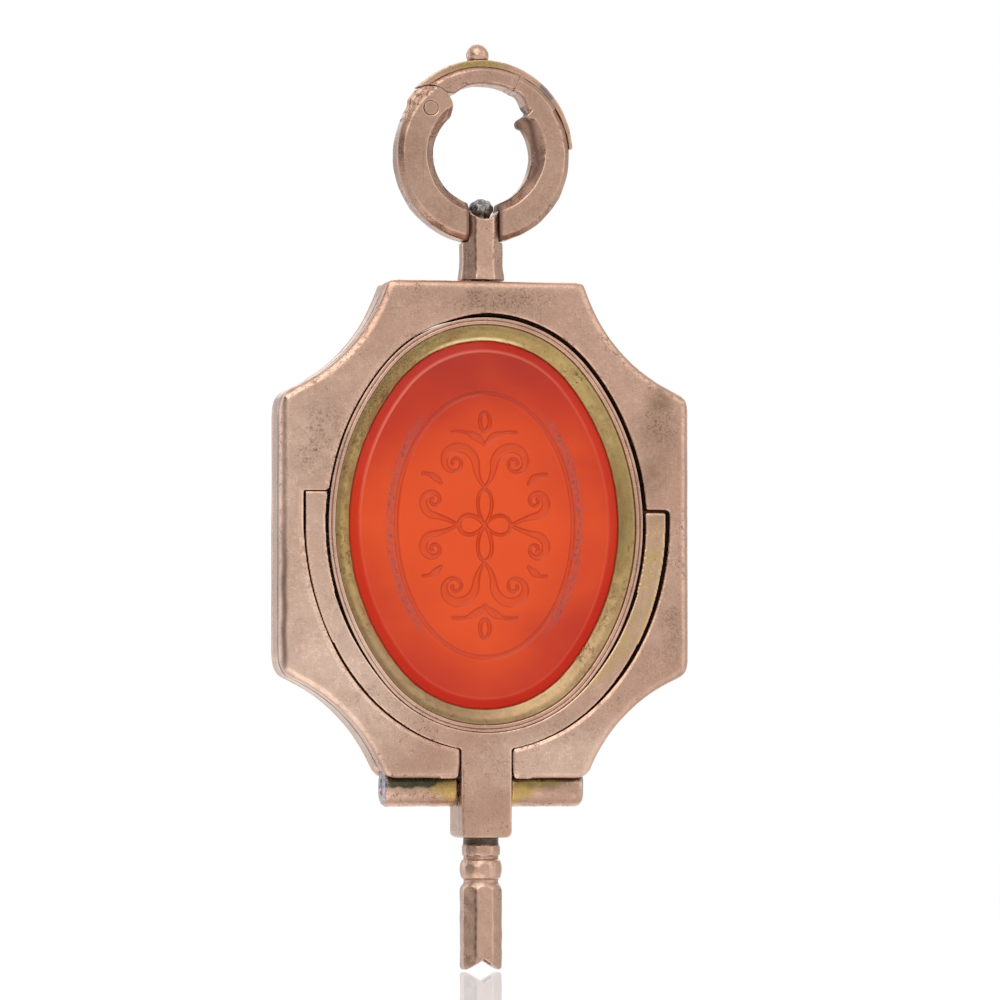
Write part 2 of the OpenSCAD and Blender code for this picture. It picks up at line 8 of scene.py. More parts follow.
import bmesh
import bpy
import numpy as np
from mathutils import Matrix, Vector


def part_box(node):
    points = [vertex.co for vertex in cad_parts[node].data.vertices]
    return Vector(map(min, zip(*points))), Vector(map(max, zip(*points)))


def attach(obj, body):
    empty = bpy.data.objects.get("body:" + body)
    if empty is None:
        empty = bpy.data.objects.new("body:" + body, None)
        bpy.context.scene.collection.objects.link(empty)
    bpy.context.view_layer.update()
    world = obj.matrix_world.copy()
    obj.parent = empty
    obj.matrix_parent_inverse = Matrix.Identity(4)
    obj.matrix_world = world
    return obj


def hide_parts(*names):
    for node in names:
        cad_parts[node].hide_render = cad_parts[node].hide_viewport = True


bl_info = {
    "name": "Pocket watch key",
    "version": (1, 0, 0),
    "blender": (4, 5, 0),
    "location": "View3D > Sidebar > Watch Key",
    "description": "Dresses a pocket watch key with a hinged seal and sets a studio round it",
    "category": "Add Mesh",
}

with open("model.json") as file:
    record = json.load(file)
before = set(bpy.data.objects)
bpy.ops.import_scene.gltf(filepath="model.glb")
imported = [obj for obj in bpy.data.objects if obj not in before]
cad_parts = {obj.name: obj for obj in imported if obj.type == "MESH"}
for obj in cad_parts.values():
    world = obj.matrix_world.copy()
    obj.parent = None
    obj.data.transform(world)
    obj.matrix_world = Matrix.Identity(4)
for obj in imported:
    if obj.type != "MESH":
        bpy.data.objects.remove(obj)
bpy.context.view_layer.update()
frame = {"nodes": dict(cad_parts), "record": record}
bodies_of_nodes = frame["record"]["behaviour"]["bodies"]
MM = 0.001


def corners(node):
    """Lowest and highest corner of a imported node, in millimetres."""
    low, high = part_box(node)
    return np.array(low) / MM, np.array(high) / MM


def tint(red, green, blue):
    """A colour written as 0 to 255, as the shaders want it."""
    def channel(value):
        value /= 255.0
        return value / 12.92 if value <= 0.04045 else ((value + 0.055) / 1.055) ** 2.4
    return channel(red), channel(green), channel(blue)


def colour(title, about, value):
    return bpy.props.FloatVectorProperty(
        name=title, description=about, subtype="COLOR", size=3, min=0.0, max=1.0, default=value)


def length(title, about, value):
    """A length property given in millimetres."""
    return bpy.props.FloatProperty(
        name=title, description=about, subtype="DISTANCE", unit="LENGTH", min=0.0, precision=5,
        default=value * MM)


def factor(title, about, value, top=1.0):
    return bpy.props.FloatProperty(
        name=title, description=about, subtype="FACTOR", min=0.0, max=top, default=value)


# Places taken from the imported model
FRAME_LOW, FRAME_HIGH = corners("frame_front")
STONE_LOW, STONE_HIGH = corners("seal_stone")
SETTING_LOW, SETTING_HIGH = corners("seal_setting")
POST_LOW, POST_HIGH = corners("swivel_post")
FRAME_MID_Z = (FRAME_LOW[2] + FRAME_HIGH[2]) / 2
SEAL_Z = (SETTING_LOW[2] + SETTING_HIGH[2]) / 2
SEAL_HALF_W = SETTING_HIGH[0]
SEAL_HALF_H = (SETTING_HIGH[2] - SETTING_LOW[2]) / 2
FRONT_Y = FRAME_LOW[1]
BACK_Y = -FRONT_Y

# Sizes that the forms share, in millimetres
SIDE_DROP = 0.33
SIDE_HALF = 9.0
TOP_HALF = 6.6
HOLLOW_X, HOLLOW_Z, HOLLOW_R = 17.09, 19.39, 11.0
HOLLOW_AT_SIDE, HOLLOW_AT_TOP = 0.345, 0.31
PLATE_BACK_Y, PLATE_THICK = -0.75, 1.1
SEAL_GAP = 0.24
END_ARC_R = 8.67
SEAL_WALL = 0.45
RING_Z = 52.72
RING_HALF_DEPTH = 1.15
INNER_BEVEL_R, OUTER_BEVEL_R = 3.84, 5.4
RIVET_X, RIVET_Z = -3.539, 55.69
FORK_R = 1.49
GATE_TIP_TURN = 65.3
STONE_LIP_DROP = 0.26
PIPE_HALF = 1.29
POST_HALF = 1.345
FOOT_ROOM = 0.13


class KeyMetalSettings(bpy.types.PropertyGroup):
    rose: colour("Rose gold", "Colour of the worn rose gold faces", tint(206, 170, 149))
    rose_deep: colour("Rose gold, deep", "Colour of the redder patches of the rose gold", tint(184, 147, 127))
    # The tarnish colour also paints the shade down gaps and recesses.
    tarnish_and_shade: colour("Tarnish", "Colour of the tarnish in pits and along seams", tint(84, 62, 60))
    yellow: colour("Yellow gold", "Colour of the olive-yellow metal", tint(182, 158, 106))
    verdigris: colour("Verdigris", "Colour of the green deposit", tint(52, 70, 48))
    steel: colour("Steel", "Colour of the steel pins", tint(176, 172, 170))
    roughness: factor("Roughness", "How satin the gold is", 0.29)
    pitting: factor("Pitting", "How dark the small pits are", 0.55)


class KeyFormSettings(bpy.types.PropertyGroup):
    fine_step: length("Fine step", "Spacing of the surface points on the ring", 0.038)
    broad_step: length("Broad step", "Spacing of the surface points on the plates", 0.085)
    wobble: length("Wobble", "Height of the hand-worked unevenness", 0.012)
    edge_passes: bpy.props.IntProperty(
        name="Edge wear", description="How often the frame's outer edges are rubbed down", min=0, max=60,
        default=50)


class KeySealSettings(bpy.types.PropertyGroup):
    stone: colour("Stone", "Colour of the middle of the stone", tint(230, 84, 32))
    stone_deep: colour("Stone, deep", "Colour of the stone's darker clouds and edges", tint(192, 48, 30))
    frost: colour("Frost", "Colour of the stippled bands", tint(164, 88, 86))
    border_w: length("Border half width", "Half width of the engraved border", 5.85)
    border_h: length("Border half height", "Half height of the engraved border", 8.55)
    groove: length("Groove half width", "Half width of the engraved border line", 0.13)
    depth: length("Groove depth", "Depth of an engraved line", 0.12)


class KeyStageSettings(bpy.types.PropertyGroup):
    distance: length("Camera distance", "Distance from the camera to the key", 400.0)
    lens: bpy.props.FloatProperty(
        name="Lens", description="Focal length on a 36 mm sensor", unit="CAMERA", min=20.0, default=222.2)
    side: bpy.props.FloatProperty(
        name="Side angle", description="Angle of the camera to the key's left", subtype="ANGLE",
        default=math.radians(12.2))
    height: length("Camera height", "Height of the camera above the floor", 12.0)
    aim_x: length("Aim to the right", "Distance of the aimed point from the key's middle", 1.27)
    aim_z: length("Aim height", "Height of the aimed point", 30.37)
    world: factor("World light", "Strength of the even light from all round", 0.5, 4.0)
    key_light: factor("Key light", "Strength of the soft lamps", 0.5, 10.0)
    floor_drop: length("Floor drop", "Gap between the pipe's mouth and the floor", 0.08)


# Node materials

def put(tree, kind, *values, out=0, named=None, **options):
    """Adds a node, sets its options and fills its inputs with numbers or other nodes' outputs."""
    made = tree.nodes.new(kind)
    for option, value in options.items():
        setattr(made, option, value)
    pairs = list(enumerate(values)) + list((named or {}).items())
    for key, value in pairs:
        if value is None:
            continue
        if isinstance(value, bpy.types.NodeSocket):
            tree.links.new(value, made.inputs[key])
        else:
            made.inputs[key].default_value = value
    return made.outputs[out]


def place_mm(tree):
    """Place on the piece, in millimetres."""
    where = put(tree, "ShaderNodeTexCoord", out=3)
    return put(tree, "ShaderNodeVectorMath", where, named={3: 1.0 / MM}, operation="SCALE")


def stretched(tree, place, turn, scale):
    """The place turned and stretched, for brushed marks and scratches."""
    return put(tree, "ShaderNodeMapping", place, None, turn, scale)


def grain(tree, place, scale, detail=2.0, rough=0.5, twist=0.0):
    return put(tree, "ShaderNodeTexNoise", named={
        "Vector": place, "Scale": scale, "Detail": detail, "Roughness": rough, "Distortion": twist})


def between(tree, value, low, high, bottom=0.0, top=1.0):
    """Turns a value between low and high into a smooth step from bottom to top."""
    return put(tree, "ShaderNodeMapRange", value, low, high, bottom, top, interpolation_type="SMOOTHSTEP")


def times(tree, first, second):
    return put(tree, "ShaderNodeMath", first, second, operation="MULTIPLY", use_clamp=True)


def plus(tree, first, second):
    return put(tree, "ShaderNodeMath", first, second, operation="ADD")


def blend(tree, amount, under, over, how="MIX"):
    """Mixes two colours."""
    def rgba(value):
        return value if isinstance(value, bpy.types.NodeSocket) else (*value, 1.0)
    return put(tree, "ShaderNodeMix", out=2, named={0: amount, 6: rgba(under), 7: rgba(over)},
               data_type="RGBA", blend_type=how)


def raised(tree, height, strength, distance, below=None):
    """A bump, whose distance is in millimetres."""
    return put(tree, "ShaderNodeBump", named={
        "Strength": strength, "Distance": distance * MM, "Height": height, "Normal": below})


def attribute(tree, name):
    return put(tree, "ShaderNodeAttribute", out=2, attribute_name=name)


def axis(tree, place, index):
    return put(tree, "ShaderNodeSeparateXYZ", place, out=index)


def start_material(name):
    """A new material with its shader, and the tree that feeds it."""
    made = bpy.data.materials.new(name)
    made.use_nodes = True
    tree = made.node_tree
    return made, tree, tree.nodes["Principled BSDF"]


def metal(name, main, deep, dark, roughness, pitting, stains=()):
    """Worn metal, made once for each name: clouds, pits, rubbed edges made paler as wear and painted
    highlight, crevices darkened as dirt and painted shade, scratches, then stains.
    """
    if name in bpy.data.materials:
        return bpy.data.materials[name]
    made, tree, shader = start_material(name)
    place = place_mm(tree)
    cloud = between(tree, grain(tree, place, 0.22, 3.0, 0.55, 0.4), 0.38, 0.66)
    tone = blend(tree, times(tree, cloud, 0.8), main, deep)
    mottle = between(tree, grain(tree, place, 2.3, 5.0, 0.75), 0.34, 0.68)
    tone = blend(tree, times(tree, mottle, 0.6), tone, deep)
    speckle = between(tree, grain(tree, place, 7.5, 4.0, 0.8), 0.4, 0.66)
    uneven_field = between(tree, grain(tree, place, 0.5, 3.0, 0.6), 0.36, 0.64, 0.06, 0.3)
    tone = blend(tree, times(tree, speckle, uneven_field), tone, dark)
    patch = between(tree, grain(tree, place, 0.26, 4.0, 0.65, 0.8), 0.47, 0.62)
    pits = between(tree, grain(tree, place, 3.6, 5.0, 0.8), 0.53, 0.61)
    pits = times(tree, pits, plus(tree, times(tree, patch, 0.9), 0.1))
    tone = blend(tree, times(tree, pits, pitting), tone, dark)
    upright = stretched(tree, place, (0.0, 0.5, 0.0), (9.0, 3.0, 0.35))
    slanted = stretched(tree, place, (0.0, -0.9, 0.3), (0.3, 3.0, 11.0))
    marks = plus(tree, between(tree, grain(tree, upright, 1.0, 2.0), 0.63, 0.72),
                 between(tree, grain(tree, slanted, 1.0, 2.0), 0.66, 0.73))
    tone = blend(tree, times(tree, marks, 0.16), tone, dark)
    for shade, mask in stains:
        tone = blend(tree, mask(tree, place), tone, shade)
    # Dirt in hollows, and painted shade down gaps and recesses, darken the colour.
    crevice_and_shade = attribute(tree, "crevice_and_shade")
    tone = blend(tree, times(tree, crevice_and_shade, 0.85), tone, dark)
    # Rubbed edges turn paler, partly as wear and partly as a painted highlight.
    edge = attribute(tree, "edge")
    tone = blend(tree, times(tree, edge, 0.3), tone, tuple(min(1.0, c * 1.15 + 0.06) for c in main))
    tree.links.new(tone, shader.inputs["Base Color"])
    shader.inputs["Metallic"].default_value = 1.0
    rough = plus(tree, roughness - 0.07, times(tree, mottle, 0.12))
    rough = plus(tree, rough, times(tree, pits, 0.25))
    rough = plus(tree, rough, times(tree, crevice_and_shade, 0.3))
    tree.links.new(rough, shader.inputs["Roughness"])
    fine = raised(tree, grain(tree, place, 9.0, 3.0, 0.6), 0.3, 0.014)
    dents = raised(tree, grain(tree, place, 0.9, 2.0, 0.5), 0.35, 0.06, fine)
    holes = raised(tree, put(tree, "ShaderNodeMath", 1.0, pits, operation="SUBTRACT"), 0.5, 0.03, dents)
    lines = raised(tree, put(tree, "ShaderNodeMath", 1.0, marks, operation="SUBTRACT"), 0.3, 0.012, holes)
    tree.links.new(lines, shader.inputs["Normal"])
    return made


def times_open(tree, first, second):
    return put(tree, "ShaderNodeMath", first, second, operation="MULTIPLY")


def spot(tree, place, across, height, half_w, half_h):
    """A soft-edged oval seen from the front, 1 in its middle."""
    away = put(tree, "ShaderNodeVectorMath", place, (across, 0.0, height), operation="SUBTRACT")
    away = put(tree, "ShaderNodeVectorMath", away, (1.0 / half_w, 0.0, 1.0 / half_h), operation="MULTIPLY")
    return between(tree, put(tree, "ShaderNodeVectorMath", away, out=1, operation="LENGTH"), 1.1, 0.25)


def patches(tree, place, fields):
    """Sum of spots of (across, height, half width, half height, most)."""
    total = 0.0
    for across, height, half_w, half_h, most in fields:
        total = plus(tree, total, times_open(tree, spot(tree, place, across, height, half_w, half_h), most))
    return total


def handled_dirt(tree, place):
    """Dirt in fine dots where the plates are handled least."""
    fields = ((0.6, 43.3, 5.0, 1.5, 0.85), (11.5, 35.2, 1.9, 2.4, 0.75), (-11.0, 34.0, 2.4, 3.0, 0.85),
              (-8.0, 17.5, 3.0, 1.8, 0.5), (12.2, 22.0, 1.6, 3.4, 0.5), (5.2, 15.6, 3.4, 1.6, 0.5),
              (-12.4, 21.6, 1.0, 1.6, 0.3), (0.9, 13.4, 2.0, 3.0, 0.5))
    dots = between(tree, grain(tree, place, 5.5, 4.0, 0.8), 0.48, 0.6, 0.1, 1.0)
    ragged = between(tree, grain(tree, place, 0.9, 4.0, 0.7), 0.36, 0.6)
    return times(tree, times_open(tree, patches(tree, place, fields), times(tree, dots, ragged)), 0.95)


def smudges(tree, place):
    """Soft brown smudges on the frame's right side and top."""
    fields = ((11.5, 36.9, 1.1, 1.1, 0.75), (11.3, 34.2, 2.0, 3.4, 0.5), (10.9, 31.5, 1.4, 1.6, 0.45),
              (0.4, 43.2, 3.6, 0.9, 0.3), (12.6, 20.6, 1.0, 3.0, 0.3))
    broken = between(tree, grain(tree, place, 1.6, 5.0, 0.75), 0.3, 0.62, 0.35, 1.0)
    return times(tree, times_open(tree, patches(tree, place, fields), broken), 0.9)


def pale_fields(tree, place):
    """Paler metal at the frame's lower left, down its left side and along its foot."""
    fields = ((-10.0, 18.5, 7.0, 8.5, 0.8), (-12.6, 30.0, 3.4, 9.0, 0.4), (6.5, 13.4, 8.0, 3.4, 0.6),
              (-9.5, 36.5, 6.0, 5.0, 0.2))
    worn = between(tree, grain(tree, place, 1.1, 4.0, 0.7), 0.3, 0.6, 0.6, 1.0)
    return times(tree, times_open(tree, patches(tree, place, fields), worn), 0.8)


def neck_dirt(tree, place):
    """Green-black deposit on the neck, close under the tab."""
    height = plus(tree, axis(tree, place, 2), times_open(tree, grain(tree, place, 2.0, 3.0), 0.24))
    return times(tree, times(tree, between(tree, height, 8.08, 8.2), between(tree, height, 8.72, 8.62)), 0.9)


def olive_on_cradle(tree, place):
    """Thin olive cast along the cradle's right arm."""
    reach = put(tree, "ShaderNodeVectorMath", place, (0.0, 0.0, SEAL_Z), operation="SUBTRACT")
    reach = put(tree, "ShaderNodeVectorMath", reach, out=1, operation="LENGTH")
    arm = times(tree, between(tree, axis(tree, place, 0), 3.5, 7.0), between(tree, reach, 13.2, 12.2))
    arm = times(tree, arm, between(tree, axis(tree, place, 2), SEAL_Z + 2.0, SEAL_Z - 2.5))
    return times(tree, times(tree, arm, between(tree, grain(tree, place, 0.9, 4.0, 0.7), 0.3, 0.56)), 0.6)


def up_and_left(tree, place):
    """Height of a place, and 1.2 times its distance to the left, added up."""
    return plus(tree, axis(tree, place, 2), times_open(tree, axis(tree, place, 0), -1.2))


def green_on_slope(tree, place):
    """Deposit on the sloping rim, thickest at the upper left."""
    high_left = between(tree, up_and_left(tree, place), SEAL_Z + 13.4, SEAL_Z + 18.5)
    spots = between(tree, grain(tree, place, 8.0, 4.0, 0.85), 0.48, 0.56)
    few = between(tree, grain(tree, place, 4.0, 3.0, 0.8), 0.62, 0.68, 0.0, 0.5)
    return times(tree, plus(tree, times(tree, spots, high_left), few), 0.85)


def brown_on_slope(tree, place):
    """Thin brown cast on the sloping rim."""
    high_left = between(tree, up_and_left(tree, place), SEAL_Z + 12.5, SEAL_Z + 17.0, 0.2, 0.85)
    return times(tree, between(tree, grain(tree, place, 0.5, 4.0, 0.6), 0.36, 0.66), high_left)


def painted_lip_highlight(tree, place):
    """A painted highlight in pale gold along the lip over the stone, at the top."""
    lip = between(tree, axis(tree, place, 1), -1.3, -1.16)
    near = spot(tree, place, -1.2, SEAL_Z + 12.2, 4.6, 2.4)
    return times(tree, times(tree, lip, near), 0.9)


def grey_shade_on_slope(tree, place):
    """The sloping rim turns greyer and darker towards its foot, the darkening a painted shade against the
    floor's light.
    """
    return between(tree, axis(tree, place, 2), SEAL_Z - 1.0, SEAL_Z - 9.0, 0.0, 0.75)


def off_middle(tree, place):
    """Distance to the left or right of the key's middle."""
    return put(tree, "ShaderNodeMath", axis(tree, place, 0), operation="ABSOLUTE")


def yellow_on_barrel(tree, place):
    """Bare yellow metal on a hinge barrel, in blotches near the tab and thinly along its upper part."""
    across = off_middle(tree, place)
    ragged = plus(tree, across, times_open(tree, grain(tree, place, 1.3, 4.0, 0.7), 3.2))
    ragged = plus(tree, ragged, times_open(tree, axis(tree, place, 2), -1.4))
    return times(tree, between(tree, ragged, -10.4, -12.2), 0.85)


def olive_shade_on_barrel(tree, place):
    """The yellow turns olive towards the frame, a dark olive cast with painted shade under the frame's edge.
    """
    across = off_middle(tree, place)
    high = plus(tree, axis(tree, place, 2), times_open(tree, grain(tree, place, 0.9, 3.0, 0.6), 0.7))
    return times(tree, times(tree, between(tree, high, 11.8, 12.4), between(tree, across, 6.4, 4.6)), 0.8)


def green_and_shadow_on_barrel(tree, place):
    """Green-black deposit and painted shadow under the frame's edge, widest at the left."""
    left = between(tree, axis(tree, place, 0), -2.6, -3.8, 0.0, 0.42)
    line = plus(tree, axis(tree, place, 2), times_open(tree, grain(tree, place, 1.2, 4.0, 0.7), 0.6))
    return times(tree, between(tree, plus(tree, line, left), 12.36, 12.56), 0.95)


def cool_reflection_on_end(tree, place):
    """A painted bluish reflection on the rounded end of a barrel."""
    across = off_middle(tree, place)
    return between(tree, across, 6.3, 6.5, 0.0, 0.55)


# Forms

def settings():
    """The sizes and colours that the user can change."""
    scene = bpy.context.scene
    return scene.watch_key_metal, scene.watch_key_form, scene.watch_key_seal, scene.watch_key_stage


def new_mesh(name, points, faces):
    mesh = bpy.data.meshes.new(name)
    mesh.from_pydata([tuple(p) for p in points], [], [tuple(int(i) for i in f) for f in faces])
    mesh.validate()
    turned = bmesh.new()
    turned.from_mesh(mesh)
    bmesh.ops.recalc_face_normals(turned, faces=turned.faces)
    turned.to_mesh(mesh)
    turned.free()
    mesh.update()
    return mesh


def read_points(mesh):
    flat = np.empty(len(mesh.vertices) * 3)
    mesh.vertices.foreach_get("co", flat)
    return flat.reshape(-1, 3)


def write_points(mesh, points):
    mesh.vertices.foreach_set("co", np.ascontiguousarray(points).ravel())
    mesh.update()


def read_edges(mesh):
    flat = np.empty(len(mesh.edges) * 2, dtype=np.int64)
    mesh.edges.foreach_get("vertices", flat)
    return flat.reshape(-1, 2)


def through_modifier(mesh, kind, **options):
    """The mesh as a modifier leaves it."""
    holder = bpy.data.objects.new("Worked_blank", mesh)
    bpy.context.scene.collection.objects.link(holder)
    step = holder.modifiers.new(kind, kind)
    for option, value in options.items():
        setattr(step, option, value)
    graph = bpy.context.evaluated_depsgraph_get()
    made = bpy.data.meshes.new_from_object(holder.evaluated_get(graph))
    bpy.data.objects.remove(holder)
    return made


def neighbour_mean(points, edges):
    """Mean of each point's neighbours."""
    count = len(points)
    one, two = edges[:, 0], edges[:, 1]
    share = np.bincount(one, minlength=count) + np.bincount(two, minlength=count)
    share = np.maximum(share, 1)
    total = np.empty_like(points)
    for k in range(points.shape[1]):
        total[:, k] = (np.bincount(one, weights=points[two, k], minlength=count)
                       + np.bincount(two, weights=points[one, k], minlength=count))
    return total / share[:, None]


def rub_down(mesh, passes, weight=None):
    """Rounds the edges of a dense mesh, where weight is 1 the most."""
    points = read_points(mesh)
    edges = read_edges(mesh)
    amount = 0.5 if weight is None else 0.5 * weight(points)[:, None]
    for _ in range(passes):
        points = points + amount * (neighbour_mean(points, edges) - points)
    write_points(mesh, points)


def waves(points, longest, seed, count=14):
    """Smooth unevenness between -1 and 1, the same in every run."""
    draw = np.random.default_rng(seed)
    ways = draw.normal(size=(count, 3))
    ways /= np.linalg.norm(ways, axis=1)[:, None]
    sizes = longest / draw.uniform(1.0, 3.5, count)
    starts = draw.uniform(0.0, 2 * math.pi, count)
    total = np.zeros(len(points))
    for way, size, start in zip(ways, sizes, starts):
        total += np.sin(points @ way * (2 * math.pi / size) + start)
    return total / math.sqrt(count) / 1.6


def normals_of(mesh):
    flat = np.empty(len(mesh.vertices) * 3, dtype=np.float32)
    mesh.vertices.foreach_get("normal", flat)
    return flat.reshape(-1, 3).astype(float)


def mark_wear(mesh, gloom=None, weight=None):
    """Keeps where the mesh is sharp outwards (edge: wear and painted highlight), and inwards or in a gap
    (dirt and painted shade), for the material.
    """
    points = read_points(mesh)
    edges = read_edges(mesh)
    lean = np.einsum("ij,ij->i", points - neighbour_mean(points, edges), normals_of(mesh))
    size = np.median(np.linalg.norm(points[edges[:, 0]] - points[edges[:, 1]], axis=1)) + 1e-9
    bend = (lean / size)[:, None]
    for _ in range(3):
        bend = 0.5 * bend + 0.5 * neighbour_mean(bend, edges)
    for name, sign in (("edge", 1.0), ("crevice_and_shade", -1.0)):
        worn = np.clip(sign * bend[:, 0] / 0.09, 0.0, 1.0)
        if weight is not None:
            worn *= np.clip(2.5 * weight(points), 0.0, 1.0)
        # gloom is painted shade: it darkens the crevice mark and dims the edge mark.
        if gloom is not None:
            deep = np.clip(gloom(points), 0.0, 1.0)
            worn = np.maximum(worn, deep) if name == "crevice_and_shade" else worn * (1.0 - deep)
        made = mesh.attributes.new(name, "FLOAT", "POINT")
        made.data.foreach_set("value", worn.astype(np.float32))


def uneven(mesh, height, longest, seed):
    """Moves the surface in and out by a small smooth amount."""
    points = read_points(mesh)
    write_points(mesh, points + normals_of(mesh) * (height * waves(points, longest, seed))[:, None])


def keep_inside(mesh, node, room=0.0):
    """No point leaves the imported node's own box by more than room."""
    low, high = corners(node)
    write_points(mesh, np.clip(read_points(mesh), low - room, high + room))


def body_of(node):
    for body, members in bodies_of_nodes.items():
        if node in members:
            return body
    raise RuntimeError("no body holds " + node)


def show(name, mesh, node, material, gloom=None, weight=None, room=0.0):
    """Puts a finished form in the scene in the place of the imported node."""
    keep_inside(mesh, node, room)
    mark_wear(mesh, gloom, weight)
    write_points(mesh, read_points(mesh) * MM)
    mesh.polygons.foreach_set("use_smooth", np.ones(len(mesh.polygons), dtype=bool))
    mesh.name = name
    piece = bpy.data.objects.new(name, mesh)
    bpy.context.scene.collection.objects.link(piece)
    mesh.materials.clear()
    mesh.materials.append(material)
    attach(piece, body_of(node))
    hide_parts(node)
    return piece


def worn_copy(name, node, material, step, passes, height=None, longest=4.0, seed=1, weight=None,
              keep=1.0, gloom=None, burr=None, shaped=None, room=0.0):
    """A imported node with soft, hand-worked edges and faces, its walls burred closer to their neighbours."""
    form = settings()[1]
    mesh = frame["nodes"][node].data.copy()
    write_points(mesh, read_points(mesh) / MM)
    mesh = through_modifier(mesh, "REMESH", mode="VOXEL", voxel_size=step)
    rub_down(mesh, passes, weight)
    if shaped is not None:
        write_points(mesh, shaped(read_points(mesh)))
    if burr is not None:
        points, lean = read_points(mesh), normals_of(mesh)
        reach = burr(points) * (np.abs(lean[:, 1]) < 0.7)
        write_points(mesh, points + lean * reach[:, None])
    uneven(mesh, form.wobble / MM if height is None else height, longest, seed)
    if keep < 1.0:
        mesh = through_modifier(mesh, "DECIMATE", decimate_type="COLLAPSE", ratio=keep)
    return show(name, mesh, node, material, gloom, weight, room)


def four_arc_oval(inset, count):
    """Points round the seal, drawn in by inset, evenly shared by length."""
    end_r = END_ARC_R
    side_r = (SEAL_HALF_W ** 2 + SEAL_HALF_H ** 2 - 2 * SEAL_HALF_H * end_r) / (2 * (SEAL_HALF_W - end_r))
    side_x, end_z = side_r - SEAL_HALF_W, SEAL_HALF_H - end_r
    half = math.atan2(end_z, side_x)
    arcs = [(-side_x, 0.0, side_r, -half, half), (0.0, end_z, end_r, half, math.pi - half),
            (side_x, 0.0, side_r, math.pi - half, math.pi + half), (0.0, -end_z, end_r, math.pi + half,
                                                                    2 * math.pi - half)]
    lengths = [r * (b - a) for _, _, r, a, b in arcs]
    walk = np.arange(count) / count * sum(lengths)
    points = np.empty((count, 2))
    done = 0.0
    for (x, z, r, a, _), span in zip(arcs, lengths):
        here = (walk >= done) & (walk < done + span)
        angle = a + (walk[here] - done) / r
        points[here] = np.stack([x + (r - inset) * np.cos(angle), z + (r - inset) * np.sin(angle)], axis=1)
        done += span
    return points


def ring_faces(around, sections, closed):
    """Faces of a loft through sections of as many points each."""
    faces = []
    for j in range(sections if closed else sections - 1):
        k = (j + 1) % sections
        for i in range(around):
            n = (i + 1) % around
            faces.append((j * around + i, j * around + n, k * around + n, k * around + i))
    return faces


def oval_loft(name, profile, around=360):
    """A closed rim round the seal, lofted through a profile of (inset, depth)."""
    points = []
    for inset, depth in profile:
        flat = four_arc_oval(inset, around)
        points += [(x, depth, z + SEAL_Z) for x, z in flat]
    return new_mesh(name, points, ring_faces(around, len(profile), True))


def filleted(corner_list, radius, steps=4):
    """A closed profile whose corners are rounded."""
    made = []
    count = len(corner_list)
    for i, here in enumerate(corner_list):
        here = np.array(here, float)
        before = np.array(corner_list[i - 1], float) - here
        after = np.array(corner_list[(i + 1) % count], float) - here
        cut = min(radius, 0.45 * np.linalg.norm(before), 0.45 * np.linalg.norm(after))
        start = here + before / np.linalg.norm(before) * cut
        end = here + after / np.linalg.norm(after) * cut
        for s in range(steps + 1):
            t = s / steps
            made.append(tuple((1 - t) ** 2 * start + 2 * t * (1 - t) * here + t * t * end))
    return made


def stacked(name, levels, per_side=14):
    """A closed bar through levels of (height, half width, turned radius), of which the smaller one shows."""
    around = 8 * per_side
    angle = np.arange(around) * 2 * math.pi / around
    off = (angle + math.pi / 8) % (math.pi / 4) - math.pi / 8
    points = []
    for height, half, turned in levels:
        radius = np.minimum(half / np.cos(off), turned)
        points += [(r * math.cos(a), r * math.sin(a), height) for r, a in zip(radius, angle)]
    faces = ring_faces(around, len(levels), False)
    faces.append(tuple(range(around - 1, -1, -1)))
    faces.append(tuple((len(levels) - 1) * around + i for i in range(around)))
    return new_mesh(name, points, faces)


def block(low, high):
    """A plain block, used only to cut."""
    points = [(x, y, z) for z in (low[2], high[2]) for y in (low[1], high[1]) for x in (low[0], high[0])]
    faces = [(0, 2, 3, 1), (4, 5, 7, 6), (0, 1, 5, 4), (2, 6, 7, 3), (0, 4, 6, 2), (1, 3, 7, 5)]
    return new_mesh("Cutter", points, faces)


def wedge(half, height, reach):
    """A roof-shaped cutter that runs from front to back."""
    outline = [(-half, 0.0), (0.0, height), (half, 0.0), (half, -1.0), (-half, -1.0)]
    points = [(x, -reach, z) for x, z in outline] + [(x, reach, z) for x, z in outline]
    faces = [(0, 1, 2, 3, 4), (9, 8, 7, 6, 5)] + [(i, 5 + i, 5 + (i + 1) % 5, (i + 1) % 5) for i in range(5)]
    return new_mesh("Cutter", points, faces)


def cut_away(mesh, cutter):
    holder = bpy.data.objects.new("Cutter", cutter)
    bpy.context.scene.collection.objects.link(holder)
    made = through_modifier(mesh, "BOOLEAN", operation="DIFFERENCE", solver="EXACT", object=holder)
    bpy.data.objects.remove(holder)
    return made


def seen_outline(points):
    """Distance of each point inside the frame's eight-cornered outline."""
    x = np.abs(points[:, 0])
    z = np.abs(points[:, 2] - FRAME_MID_Z)
    hollow = np.hypot(x - HOLLOW_X, np.abs(points[:, 2] - FRAME_MID_Z + SIDE_DROP) - HOLLOW_Z) - HOLLOW_R
    return np.minimum(np.minimum(FRAME_HIGH[0] - x, FRAME_HIGH[2] - FRAME_MID_Z - z), hollow)


def corner_nearness(points):
    """1 at the frame's eight corners, falling to 0 about a millimetre away."""
    x, z = np.abs(points[:, 0]), np.abs(points[:, 2] - FRAME_MID_Z)
    tall = np.hypot(x - FRAME_HIGH[0], np.abs(points[:, 2] - FRAME_MID_Z + SIDE_DROP) - SIDE_HALF)
    wide = np.hypot(x - TOP_HALF, z - FRAME_HIGH[2] + FRAME_MID_Z)
    return np.clip(1.3 - np.minimum(tall, wide) / 1.2, 0.0, 1.0)


